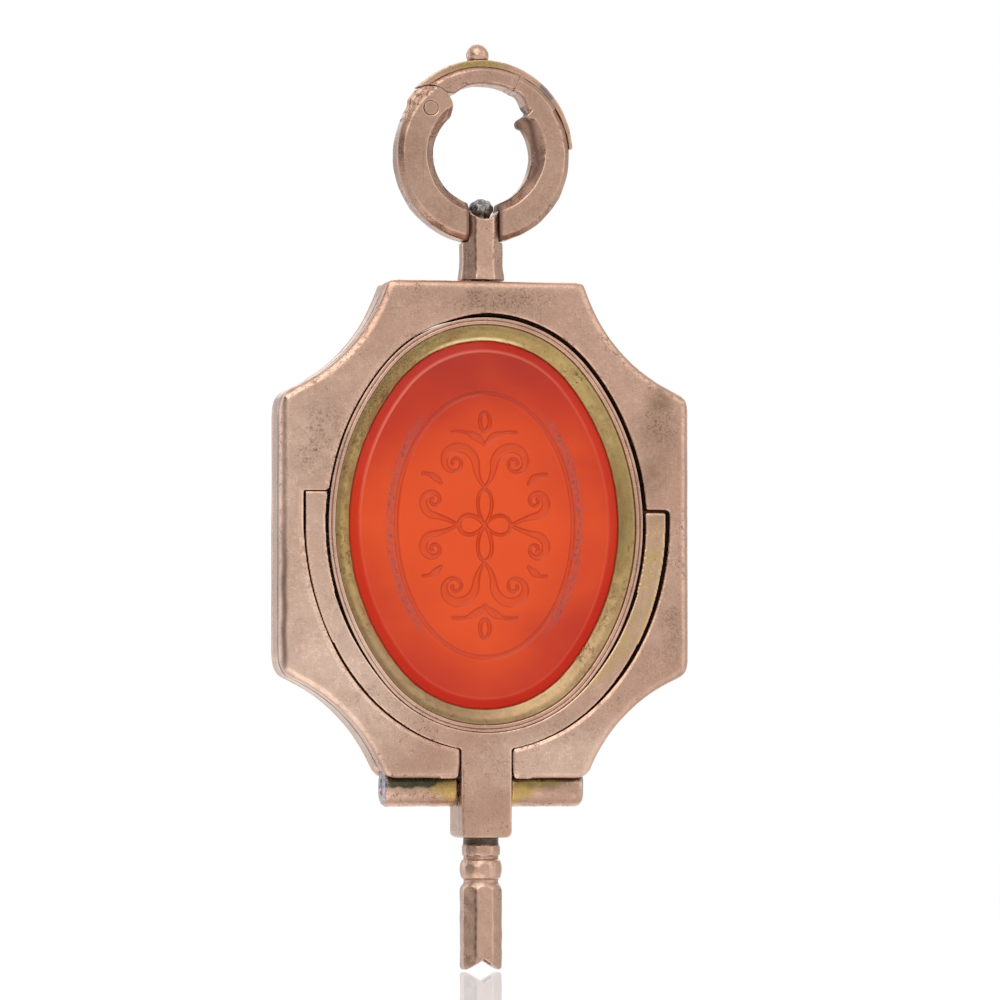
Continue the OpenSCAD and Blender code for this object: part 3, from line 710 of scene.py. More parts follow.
def outer_edge_weight(points):
    """The frame's outer front edges and its corners are rubbed round, its seams hardly."""
    near = np.clip(1.0 - seen_outline(points) / 0.9, 0.0, 1.0)
    front = np.clip((-0.95 - points[:, 1]) / 0.25, 0.0, 1.0)
    return 0.17 + 0.83 * np.maximum(0.75 * np.sqrt(near * front), corner_nearness(points))


def back_edge_weight(points):
    return np.maximum(0.2 * (points[:, 1] > 1.4), corner_weight(points))


def corner_weight(points):
    return 0.07 + 0.93 * corner_nearness(points)


def smooth_step(values, low, high):
    t = np.clip((values - low) / (high - low), 0.0, 1.0)
    return t * t * (3.0 - 2.0 * t)


def front_burr(points):
    """How far the front plate's opening walls lie in: less near the hinge, none at the upper right."""
    inside = (seen_outline(points) > 1.1) | ((np.abs(points[:, 0]) < 3.0) & (points[:, 2] < 20.0))
    left = smooth_step(points[:, 0], 0.5, -3.0)
    return inside * (0.06 + smooth_step(points[:, 2], 16.0, 23.0) * (0.1 * left - 0.06 * (1.0 - left)))


def back_burr(points):
    """The same for the back plate, whose slot takes the cradle when the leaf is turned right round."""
    return 0.17 * (seen_outline(points) > 1.1) * smooth_step(points[:, 2], 17.0, 20.0)


def lining_burr(points):
    """The lining's inner wall is drawn in closer to the setting."""
    x, z = points[:, 0], points[:, 2] - SEAL_Z
    away = np.hypot(x / (SEAL_HALF_W + SEAL_GAP), z / (SEAL_HALF_H + SEAL_GAP))
    return 0.17 * (away < 1.03) * smooth_step(points[:, 2], 17.0, 20.0)


def eased(along, across, long, wide):
    """Draws points near a corner back inside a rounding that reaches long one way and wide the other."""
    p, q = np.clip(1.0 - along / long, 0.0, None), np.clip(1.0 - across / wide, 0.0, None)
    past = np.sqrt(p ** 2 + q ** 2)
    out = (past > 1.0) & (p > 0.0) & (q > 0.0)
    safe = np.maximum(past, 1.0)
    return np.where(out, long * (1.0 - p / safe), along), np.where(out, wide * (1.0 - q / safe), across)


def eased_corners(points):
    """The frame's eight corners are worn round."""
    moved = points.copy()
    side, flip = np.sign(points[:, 0]), np.sign(points[:, 2] - FRAME_MID_Z)
    inward = FRAME_HIGH[0] - np.abs(points[:, 0])
    high = np.abs(points[:, 2] - FRAME_MID_Z + SIDE_DROP)
    along, across = eased(inward, SIDE_HALF + HOLLOW_AT_SIDE * inward - high, 0.7, 1.3)
    moved[:, 0] = side * (FRAME_HIGH[0] - along)
    shift = high - (SIDE_HALF + HOLLOW_AT_SIDE * along - across)
    moved[:, 2] -= flip * shift
    down = FRAME_HIGH[2] - FRAME_MID_Z - np.abs(moved[:, 2] - FRAME_MID_Z)
    wide = np.abs(moved[:, 0])
    along, across = eased(down, TOP_HALF + HOLLOW_AT_TOP * down - wide, 0.5, 1.0)
    moved[:, 0] = side * (TOP_HALF + HOLLOW_AT_TOP * along - across)
    moved[:, 2] = FRAME_MID_Z + flip * (FRAME_HIGH[2] - FRAME_MID_Z - along)
    return moved


def pillowed(points):
    """The front plate's face falls away softly towards its outer edge."""
    near = np.clip(1.0 - seen_outline(points) / 0.6, 0.0, 1.0)
    share = np.clip((PLATE_BACK_Y - points[:, 1]) / PLATE_THICK, 0.0, 1.0)
    height = 0.14 + 0.22 * smooth_step(np.abs(points[:, 0]), 12.4, 12.9)
    moved = eased_corners(points)
    moved[:, 1] += height * near ** 2 * share
    return moved


def front_gloom(points):
    """Painted shade inside the front plate's opening, recess and slot, a painted dark reflection down its
    left edge, and a dark line along its seam with the band.
    """
    inside = seen_outline(points)
    gaps = 0.8 * smooth_step(points[:, 1], FRONT_Y + 0.15, FRONT_Y + 0.7) * smooth_step(inside, 0.6, 0.9)
    left = points[:, 0] - FRAME_LOW[0]
    z = points[:, 2]
    # A painted dark reflection down the front plate's left edge.
    band = np.exp(-((left - 0.28 + 0.04 * np.sin(2.1 * z)) / 0.19) ** 2) * (points[:, 1] < -1.1)
    band *= smooth_step(z, 18.6, 20.2) * smooth_step(z, 37.0, 35.5)
    band *= 0.4 + 0.45 * smooth_step(z, 30.0, 25.0)
    return np.maximum(np.maximum(gaps, band), 0.8 * smooth_step(points[:, 1], -0.98, -0.84) * (inside < 0.5))


def band_gloom(points):
    """Dark along the band's seam with the front plate."""
    return 0.85 * (1.0 - smooth_step(points[:, 1], -0.7, -0.5))


def between_faces(points):
    """1 inside, falling to 0 at the back, which gets no painted shade, like the front."""
    return 1.0 - smooth_step(points[:, 1], BACK_Y - 0.5, BACK_Y - 0.12)


def leaf_gloom(points):
    """Painted shade down the sides of the pieces that lie in the frame's recess and slot."""
    down = smooth_step(points[:, 1], FRONT_Y + 0.15, FRONT_Y + 0.6) * between_faces(points)
    return 0.75 * down * smooth_step(points[:, 2], FRAME_LOW[2] - 0.1, FRAME_LOW[2] + 0.6)


def tab_line(points):
    """A thin dark line down the left of the tab."""
    x, z = points[:, 0], points[:, 2]
    near = np.exp(-((x + 1.52 - 0.02 * np.sin(2.3 * z)) / 0.045) ** 2) * (points[:, 1] < -1.5)
    return 0.85 * near * (z < 13.2) * (0.6 + 0.4 * np.sin(4.1 * z) ** 2)


def setting_gloom(points):
    """Painted shade down the outside of the setting."""
    x, z = points[:, 0], points[:, 2] - SEAL_Z
    outside = np.hypot(x / (SEAL_HALF_W - 0.2), z / (SEAL_HALF_H - 0.2)) > 1.0
    return 0.85 * outside * smooth_step(points[:, 1], FRONT_Y + 0.14, FRONT_Y + 0.5) * between_faces(points)


def slope_gloom(points):
    """Painted brown shade in the angle between the sloping rim and the setting's wall, most at the lower
    left.
    """
    x, z = points[:, 0], points[:, 2] - SEAL_Z
    outer = smooth_step(points[:, 1], -1.42, -1.6)
    turned = 0.5 + 0.5 * np.cos(np.arctan2(z, x) - math.radians(215.0))
    return outer * (0.2 + 0.5 * turned)


def facet_gloom(half, low, high):
    """A wavering dark line down the left edge of a bar's front flat, a painted dark reflection."""
    def gloom(points):
        z = points[:, 2]
        line = -half * math.tan(math.pi / 8) - 0.06 + 0.03 * np.sin(z * 3.1) * np.sin(z * 1.3)
        near = np.exp(-((points[:, 0] - line) / 0.1) ** 2) * (points[:, 1] < 0.0)
        along = smooth_step(z, low, low + 0.5) * (1.0 - smooth_step(z, high - 0.6, high))
        return near * along * (0.7 + 0.3 * np.sin(z * 5.3) ** 2)
    return gloom


def ring_place(points):
    """Distance from the ring's middle, and the angle up from its right side in degrees."""
    x, z = points[:, 0], points[:, 2] - RING_Z
    return np.hypot(x, z), np.degrees(np.arctan2(z, x))


def flared_foot(points):
    """The post widens to its foot, which stands close above the frame."""
    low = 1.0 - smooth_step(points[:, 2], POST_LOW[2], POST_LOW[2] + 0.9)
    moved = points * (1.0 + 0.08 * low[:, None])
    moved[:, 2] = points[:, 2] - 0.12 * low
    return moved


def hammered_head(points):
    """The pin's head is beaten a little flatter."""
    moved = points.copy()
    moved[:, 2] -= 0.22 * np.clip(points[:, 2] - POST_HIGH[2], 0.0, None)
    return moved


def seam_weight(points):
    """The ring's outer edges are rubbed round, the seams at its gate hardly."""
    x, z = points[:, 0] - RIVET_X, points[:, 2] - RIVET_Z
    joint = np.clip(np.abs(np.hypot(x, z) - FORK_R) / 0.3 - 0.2, 0.0, 1.0)
    turn = ring_place(points)[1]
    free_end = np.clip(np.abs(turn - GATE_TIP_TURN) / 3.0 - 0.3, 0.0, 1.0)
    return np.minimum(joint, free_end)


def bevelled(points):
    """The ring's faces fall away at both edges, broadly inside its right limb up to the catch."""
    reach, turn = ring_place(points)
    inner = INNER_BEVEL_R + 0.36 * smooth_step(turn, -60.0, 42.0) * (points[:, 0] > 0.0)
    drop = np.maximum(1.1 * (inner - reach), 0.8 * (reach - OUTER_BEVEL_R))
    front = np.clip(drop, 0.0, 1.7)
    back = np.clip(1.1 * (INNER_BEVEL_R - reach), 0.0, 0.3)
    moved = points.copy()
    moved[:, 1] = np.minimum(np.maximum(points[:, 1], front - RING_HALF_DEPTH), RING_HALF_DEPTH - back)
    return moved


def catch_filled(points):
    """Bevelled, with the corner above the catch drawn in towards the opening."""
    moved = bevelled(points)
    reach, turn = ring_place(points)
    draw = 0.42 * smooth_step(turn, 60.0, 46.0) * smooth_step(turn, 34.0, 42.0)
    share = smooth_step(reach, 3.5, 4.5) * smooth_step(reach, 5.4, 4.9)
    scale = 1.0 - draw * share / reach
    moved[:, 0] *= scale
    moved[:, 2] = RING_Z + (moved[:, 2] - RING_Z) * scale
    return moved


def gate_thickened(points):
    """The gate grows a little thicker towards its hinge."""
    moved = points.copy()
    reach, turn = ring_place(points)
    draw = 0.5 * np.clip((turn - 90.0) / 37.0, 0.0, 1.0) ** 2 * smooth_step(turn, 121.0, 115.0)
    scale = 1.0 - draw * smooth_step(reach, 5.05, 4.7) / reach
    moved[:, 0] *= scale
    moved[:, 2] = RING_Z + (moved[:, 2] - RING_Z) * scale
    return moved


def at_seams(points):
    return 0.022 * (seam_weight(points) < 0.9)


def ring_gloom(points):
    """Painted shade, with some tarnish, on the ring's inner wall, at the right under the gate and by the
    post.
    """
    reach, turn = ring_place(points)
    streak = np.exp(-((points[:, 1] + 0.62 - 0.12 * np.sin(0.11 * turn)) / 0.2) ** 2)
    deep = smooth_step(points[:, 1], -0.7, 0.1) * smooth_step(turn, 10.0, 40.0)
    wall = (reach < 4.3) * np.maximum(streak, deep)
    right = smooth_step(turn, -55.0, -20.0) * (1.0 - smooth_step(turn, 50.0, 62.0))
    foot = 1.0 - smooth_step(np.abs(points[:, 0]), 1.1, 1.3)
    return np.maximum(0.8 * wall * right, 0.8 * foot * (points[:, 2] < RING_Z))


# The pieces

PALE_METAL, BROWN_SMUDGE, DARK_DOTS = tint(230, 203, 184), tint(140, 110, 90), tint(104, 74, 64)


def rose_metal(name, share, smoother, stains):
    """Rose gold whose colour is the settings' one times share, with its own stains."""
    look = settings()[0]
    return metal(name, tuple(share * c for c in look.rose), tuple(share * c for c in look.rose_deep),
                 tuple(look.tarnish_and_shade), look.roughness - smoother, look.pitting, stains)


def rose_gold():
    return rose_metal("Rose_gold_worn", 1.0, 0.0, (
        (PALE_METAL, pale_fields), (BROWN_SMUDGE, smudges), (DARK_DOTS, handled_dirt),
        (tint(42, 48, 36), neck_dirt)))


def ring_gold():
    return rose_metal("Ring_gold", 0.88, 0.0, ())


def cradle_gold():
    return rose_metal("Cradle_gold", 1.0, 0.0, (
        (PALE_METAL, pale_fields), (DARK_DOTS, handled_dirt), (tint(186, 160, 100), olive_on_cradle)))


def barrel_gold():
    return rose_metal("Hinge_gold_stained", 1.0, 0.06, (
        (tint(188, 156, 82), yellow_on_barrel), (tint(112, 96, 52), olive_shade_on_barrel),
        (tint(44, 52, 36), green_and_shadow_on_barrel), (tint(176, 174, 190), cool_reflection_on_end)))


def yellow_gold():
    look = settings()[0]
    return metal("Yellow_gold_dull", tuple(look.yellow), tint(162, 138, 88), tint(96, 72, 46),
                 look.roughness + 0.08, look.pitting, (
                     (tint(156, 116, 76), brown_on_slope), (tint(158, 130, 102), grey_shade_on_slope),
                     (tint(250, 236, 176), painted_lip_highlight), (tuple(look.verdigris), green_on_slope)))


def shaded_gold_in_gaps():
    """Brown gold of the ledge, painted darker as shade and tarnish, seen only down the seams and when the
    leaf is out.
    """
    return metal("Gold_shaded_in_gaps", tint(138, 106, 78), tint(104, 80, 60), tint(52, 40, 34), 0.5, 0.9)


def shade_lining_matt():
    """Matt brown-black painted shade on the lining, deep in the gaps."""
    made, tree, shader = start_material("Painted_shade_in_gaps")
    place = place_mm(tree)
    tone = blend(tree, between(tree, grain(tree, place, 1.4, 4.0, 0.7), 0.35, 0.65), tint(46, 34, 30),
                 tint(78, 60, 44))
    tree.links.new(tone, shader.inputs["Base Color"])
    shader.inputs["Roughness"].default_value = 0.85
    shader.inputs["Specular IOR Level"].default_value = 0.1
    tree.links.new(raised(tree, grain(tree, place, 6.0, 3.0), 0.5, 0.03), shader.inputs["Normal"])
    return made


def near_ball(tree, place):
    """Olive metal that shows through on the leaf round the thumb ball."""
    off = put(tree, "ShaderNodeMath", plus(tree, axis(tree, place, 0), 0.4), operation="ABSOLUTE")
    ragged = plus(tree, off, times_open(tree, grain(tree, place, 1.5, 3.0), 1.6))
    return times(tree, between(tree, ragged, 3.4, 1.8), 0.85)


def steel_patch(tree, place):
    """The steel end of the catch pin, rubbed across the leaf's front."""
    return times(tree, between(tree, spot(tree, place, 4.24, 57.0, 0.62, 0.85), 0.1, 0.3), 0.9)


def leaf_gold():
    look = settings()[0]
    return metal(
        "Leaf_gold", tint(202, 166, 144), tint(178, 144, 120), tuple(look.tarnish_and_shade), look.roughness, 0.7,
        ((tint(156, 134, 80), near_ball), (tint(120, 118, 112), steel_patch)))


def dark_steel():
    look = settings()[0]
    return metal("Steel_dark", tuple(look.steel), tint(112, 112, 114), tint(44, 42, 44), 0.34, 0.8)


class WATCHKEY_OT_set_stage(bpy.types.Operator):
    """Sets the floor, the soft lights, the white surroundings and the camera"""
    bl_idname = "watch_key.set_stage"
    bl_label = "Set the stage"

    def execute(self, context):
        stage = settings()[3]
        self.set_world(context, stage)
        self.lay_floor(context, stage)
        self.hang_lights(context, stage)
        self.place_camera(context, stage)
        context.scene.view_settings.view_transform = "Standard"
        return {"FINISHED"}

    def set_world(self, context, stage):
        world = bpy.data.worlds.new("White_surroundings")
        world.use_nodes = True
        tree = world.node_tree
        path = put(tree, "ShaderNodeLightPath").node
        back = tree.nodes["Background"]
        back.inputs["Color"].default_value = (1.0, 1.0, 1.0, 1.0)
        way = put(tree, "ShaderNodeTexCoord", out=0)
        east, north, up = (axis(tree, way, k) for k in range(3))
        backdrop = times(tree, between(tree, north, 0.4, 0.7), between(tree, east, -0.02, 0.12, 0.0, 0.4))
        shade = times(tree, between(tree, east, -0.5, -0.85), between(tree, north, 0.45, 0.15, 0.0, 0.24))
        towards = put(tree, "ShaderNodeVectorMath", way, (-0.87, -0.49, 0.0), out=1, operation="DOT_PRODUCT")
        shade = plus(tree, shade, between(tree, towards, 0.82, 0.96, 0.0, 0.34))
        mirrored = plus(tree, between(tree, north, -0.6, 0.6, 0.86, 0.66), backdrop)
        mirrored = put(tree, "ShaderNodeMath", mirrored, shade, operation="SUBTRACT")
        mirrored = plus(tree, mirrored, between(tree, up, 0.45, 0.95, 0.0, 0.2))
        seen = put(tree, "ShaderNodeMath", path.outputs["Is Camera Ray"], path.outputs["Is Transmission Ray"],
                   operation="MAXIMUM")
        glossy = path.outputs["Is Glossy Ray"]
        level = put(tree, "ShaderNodeMapRange", glossy, 0.0, 1.0, stage.world, mirrored)
        level = put(tree, "ShaderNodeMapRange", seen, 0.0, 1.0, level, 1.0)
        tree.links.new(level, back.inputs["Strength"])
        context.scene.world = world

    def lay_floor(self, context, stage):
        made, tree, shader = start_material("Floor_white")
        tree.nodes.remove(shader)
        path = put(tree, "ShaderNodeLightPath").node
        mirror = put(tree, "ShaderNodeBsdfGlossy", (1.0, 0.99, 1.0, 1.0), 0.03)
        matt = put(tree, "ShaderNodeBsdfDiffuse", (0.97, 0.97, 0.97, 1.0))
        glow = put(tree, "ShaderNodeEmission", (1.0, 1.0, 1.0, 1.0), 1.0)
        plain = put(tree, "ShaderNodeMixShader", 0.95, matt, glow)
        place = place_mm(tree)
        reach = put(tree, "ShaderNodeVectorMath", place, out=1, operation="LENGTH")
        share = between(tree, reach, 30.0, 240.0, 0.45, 0.0)
        plain = put(tree, "ShaderNodeMixShader", between(tree, reach, 60.0, 400.0), plain, glow)
        seen = put(tree, "ShaderNodeMixShader", share, plain, mirror)
        lit = put(tree, "ShaderNodeMath", path.outputs["Is Camera Ray"], path.outputs["Is Glossy Ray"],
                  operation="MAXIMUM")
        both = put(tree, "ShaderNodeMixShader", lit, matt, seen)
        tree.links.new(both, tree.nodes["Material Output"].inputs["Surface"])
        half = 1.5
        drop = -stage.floor_drop
        mesh = new_mesh("Floor", [(-half, -half, drop), (half, -half, drop), (half, half, drop),
                                  (-half, half, drop)], [(0, 1, 2, 3)])
        mesh.materials.append(made)
        floor = bpy.data.objects.new("Floor", mesh)
        context.scene.collection.objects.link(floor)

    def hang_lights(self, context, stage):
        middle = Vector((0.0, 0.0, 0.03))
        plan = (
            ("Key_light", (-0.22, -0.4, 0.46), 0.8, 4.0, (1.0, 0.985, 0.96)),
            ("Side_light", (-0.4, 0.26, 0.14), 0.5, 1.2, (0.8, 0.88, 1.0)),
            ("Right_light", (0.42, -0.3, 0.16), 0.6, 1.0, (1.0, 0.99, 0.97)),
            ("Back_light", (0.1, 0.42, 0.34), 0.6, 1.2, (1.0, 1.0, 1.0)),
        )
        for name, where, size, power, shade in plan:
            lamp = bpy.data.lights.new(name, "AREA")
            lamp.shape = "DISK"
            lamp.size = size
            lamp.energy = power * stage.key_light
            lamp.color = shade
            holder = bpy.data.objects.new(name, lamp)
            holder.location = where
            holder.rotation_euler = (middle - Vector(where)).to_track_quat("-Z", "Y").to_euler()
            context.scene.collection.objects.link(holder)

    def place_camera(self, context, stage):
        camera = bpy.data.cameras.new("Camera")
        camera.lens = stage.lens
        camera.sensor_width = 36.0
        camera.clip_start = 0.01
        camera.clip_end = 10.0
        aim = Vector((stage.aim_x, 0.0, stage.aim_z))
        where = Vector((
            aim.x - stage.distance * math.sin(stage.side),
            aim.y - stage.distance * math.cos(stage.side),
            stage.height,
        ))
        holder = bpy.data.objects.new("Camera", camera)
        holder.location = where
        holder.rotation_euler = (aim - where).to_track_quat("-Z", "Y").to_euler()
        context.scene.collection.objects.link(holder)
        context.scene.camera = holder


class WATCHKEY_OT_dress_frame(bpy.types.Operator):
    """Makes the frame's plates, its outer band and the hidden plates between them"""
    bl_idname = "watch_key.dress_frame"
    bl_label = "Dress the frame"

    def execute(self, context):
        form = settings()[1]
        broad = form.broad_step / MM
        worn_copy("Frame_front_plate", "frame_front", rose_gold(), broad, form.edge_passes,
                  longest=9.0, seed=11, weight=outer_edge_weight, keep=0.55, gloom=front_gloom,
                  burr=front_burr, shaped=pillowed)
        worn_copy("Frame_back_plate", "frame_back", rose_gold(), broad, form.edge_passes,
                  longest=9.0, seed=12, weight=back_edge_weight, keep=0.4,
                  burr=back_burr, shaped=eased_corners)
        worn_copy("Frame_edge_band", "edge_band", rose_gold(), 0.08, form.edge_passes,
                  longest=6.0, seed=13, weight=corner_weight, keep=0.6, gloom=band_gloom,
                  shaped=eased_corners)
        # The lining is painted matt brown-black as shade.
        worn_copy("Frame_lining", "frame_lining", shade_lining_matt(), 0.09, 3, longest=4.0, seed=14,
                  keep=0.4, burr=lining_burr)
        # The ledge takes gold painted darker as shade.
        ledge = frame["nodes"]["frame_ledge"]
        ledge.data.materials.clear()
        ledge.data.materials.append(shaded_gold_in_gaps())
        return {"FINISHED"}


class WATCHKEY_OT_dress_hinge(bpy.types.Operator):
    """Makes the two hinge barrels and the pin through them"""
    bl_idname = "watch_key.dress_hinge"
    bl_label = "Dress the hinge"

    def execute(self, context):
        for number, side in enumerate(("left", "right")):
            worn_copy("Hinge_barrel_" + side, "hinge_barrel_" + side, barrel_gold(), 0.06, 5,
                      height=0.018, longest=3.0, seed=21 + number)
        worn_copy("Hinge_pin", "hinge_pin", dark_steel(), 0.06, 3, seed=23)
        return {"FINISHED"}


class WATCHKEY_OT_dress_cradle(bpy.types.Operator):
    """Makes the cradle with the tab, and the knuckle behind it"""
    bl_idname = "watch_key.dress_cradle"
    bl_label = "Dress the cradle"

    def execute(self, context):
        worn_copy("Cradle", "cradle", cradle_gold(), 0.065, 5, longest=6.0, seed=31, keep=0.7,
                  gloom=lambda points: np.maximum(leaf_gloom(points), tab_line(points)),
                  burr=lambda points: 0.05 * (np.abs(points[:, 0]) > 10.0))
        worn_copy("Knuckle", "knuckle", rose_gold(), 0.065, 3, longest=3.0, seed=32,
                  gloom=leaf_gloom)
        return {"FINISHED"}


class WATCHKEY_OT_dress_setting(bpy.types.Operator):
    """Makes the oval setting, its sloping rim and the rim behind the stone"""
    bl_idname = "watch_key.dress_setting"
    bl_label = "Dress the setting"

    def execute(self, context):
        wall = SEAL_WALL
        back = SETTING_HIGH[1]
        rim = FRONT_Y + 0.01
        profile = [(0.0, back), (0.0, rim), (0.15, rim), (0.2, rim + 0.1), (0.25, rim), (wall, rim),
                   (wall, back)]
        mesh = oval_loft("Setting", filleted(profile, 0.08), 720)
        uneven(mesh, 0.008, 5.0, 41)
        show("Seal_setting", mesh, "seal_setting", rose_gold(), setting_gloom)
        low, high = corners("setting_slope")
        outer, inner, under = wall + 0.01, 1.5, 0.8
        lip = STONE_LOW[1] + STONE_LIP_DROP
        drop = lip - 0.08 - low[1]
        fall = [(outer + (inner - outer) * t, low[1] + drop * (t - 0.1 * math.sin(math.pi * t)))
                for t in np.linspace(0.0, 1.0, 12)]
        mesh = oval_loft("Slope", [(outer, high[1])] + fall + [(inner, lip - 0.01), (under, high[1])])
        uneven(mesh, 0.014, 2.2, 42)
        show("Setting_slope", mesh, "setting_slope", yellow_gold(), slope_gloom)
        low, high = corners("setting_back_rim")
        reach = 1.6
        profile = [(outer, high[1]), (outer, low[1]), (reach, low[1]), (reach, high[1])]
        mesh = oval_loft("Back_rim", filleted(profile, 0.14))
        uneven(mesh, 0.012, 3.0, 43)
        show("Setting_back_rim", mesh, "setting_back_rim", rose_gold())
        return {"FINISHED"}


def spiral(middle, radius, start, turns, shrink=0.2, steps=90):
    """A scroll that winds inwards round its middle."""
    sweep = np.linspace(0.0, turns * 2 * math.pi, steps)
    reach = radius * np.exp(-shrink * np.abs(sweep))
    across, up = reach * np.cos(start + sweep), reach * np.sin(start + sweep)
    return np.stack([middle[0] + across, middle[1] + up], axis=1)


def bow_line(start, bend, end, steps=24):
    t = np.linspace(0.0, 1.0, steps)[:, None]
    start, bend, end = (np.array(p, float) for p in (start, bend, end))
    return (1 - t) ** 2 * start + 2 * t * (1 - t) * bend + t * t * end


def ornament_lines():
    """Scrollwork of (line, thickest half width), alike in all quarters: petals, scrolls, sprigs, drops."""
    turn = np.linspace(0.0, 2 * math.pi, 260)
    petal = 2.0 * np.cos(2 * turn)
    lines = [(np.stack([0.85 * petal * np.sin(turn), 1.15 * petal * np.cos(turn)], axis=1), 0.13)]
    turn = np.linspace(0.0, 2 * math.pi, 60)
    drop = np.stack([0.32 * np.sin(turn), 6.7 + 0.6 * np.cos(turn)], axis=1)
    tall_scroll = np.concatenate([bow_line((0.0, 2.45), (0.55, 3.0), (0.6, 4.0)),
                                  spiral((1.95, 4.0), 1.35, math.pi, -1.55)])
    side_scroll = np.concatenate([bow_line((1.75, 0.0), (2.6, 0.45), (3.35, 0.6)),
                                  spiral((3.35, 1.55), 0.95, 1.5 * math.pi, 1.4)])
    long_sprig = bow_line((0.0, 5.2), (0.9, 6.2), (2.1, 6.0))
    short_sprig = bow_line((2.9, 2.7), (3.5, 3.4), (4.1, 3.3))
    quarter = [(tall_scroll, 0.3), (side_scroll, 0.25), (long_sprig, 0.24), (short_sprig, 0.22), (drop, 0.12)]
    for side in (-1, 1):
        for end in (-1, 1):
            lines += [(line * (side, end), thick) for line, thick in quarter]
    return lines


def distance_to_lines(points, lines):
    """Distance of each flat point inside (below 0) or outside the nearest stroke's edge."""
    best = np.full(len(points), 1e9)
    for line, thick in lines:
        steps = len(line) - 1
        for k in range(steps):
            start, end = line[k], line[k + 1]
            near = np.where(np.abs(points[:, 1] - start[1]) < 0.8)[0]
            if not len(near):
                continue
            span = end - start
            along = np.clip(((points[near] - start) @ span) / max(span @ span, 1e-12), 0.0, 1.0)
            gap = np.linalg.norm(points[near] - start - along[:, None] * span, axis=1)
            half = 0.1 + (thick - 0.1) * math.sin(math.pi * min(1.0, 1.6 * (k + 0.5) / steps)) ** 2
            best[near] = np.minimum(best[near], gap - half)
    return best


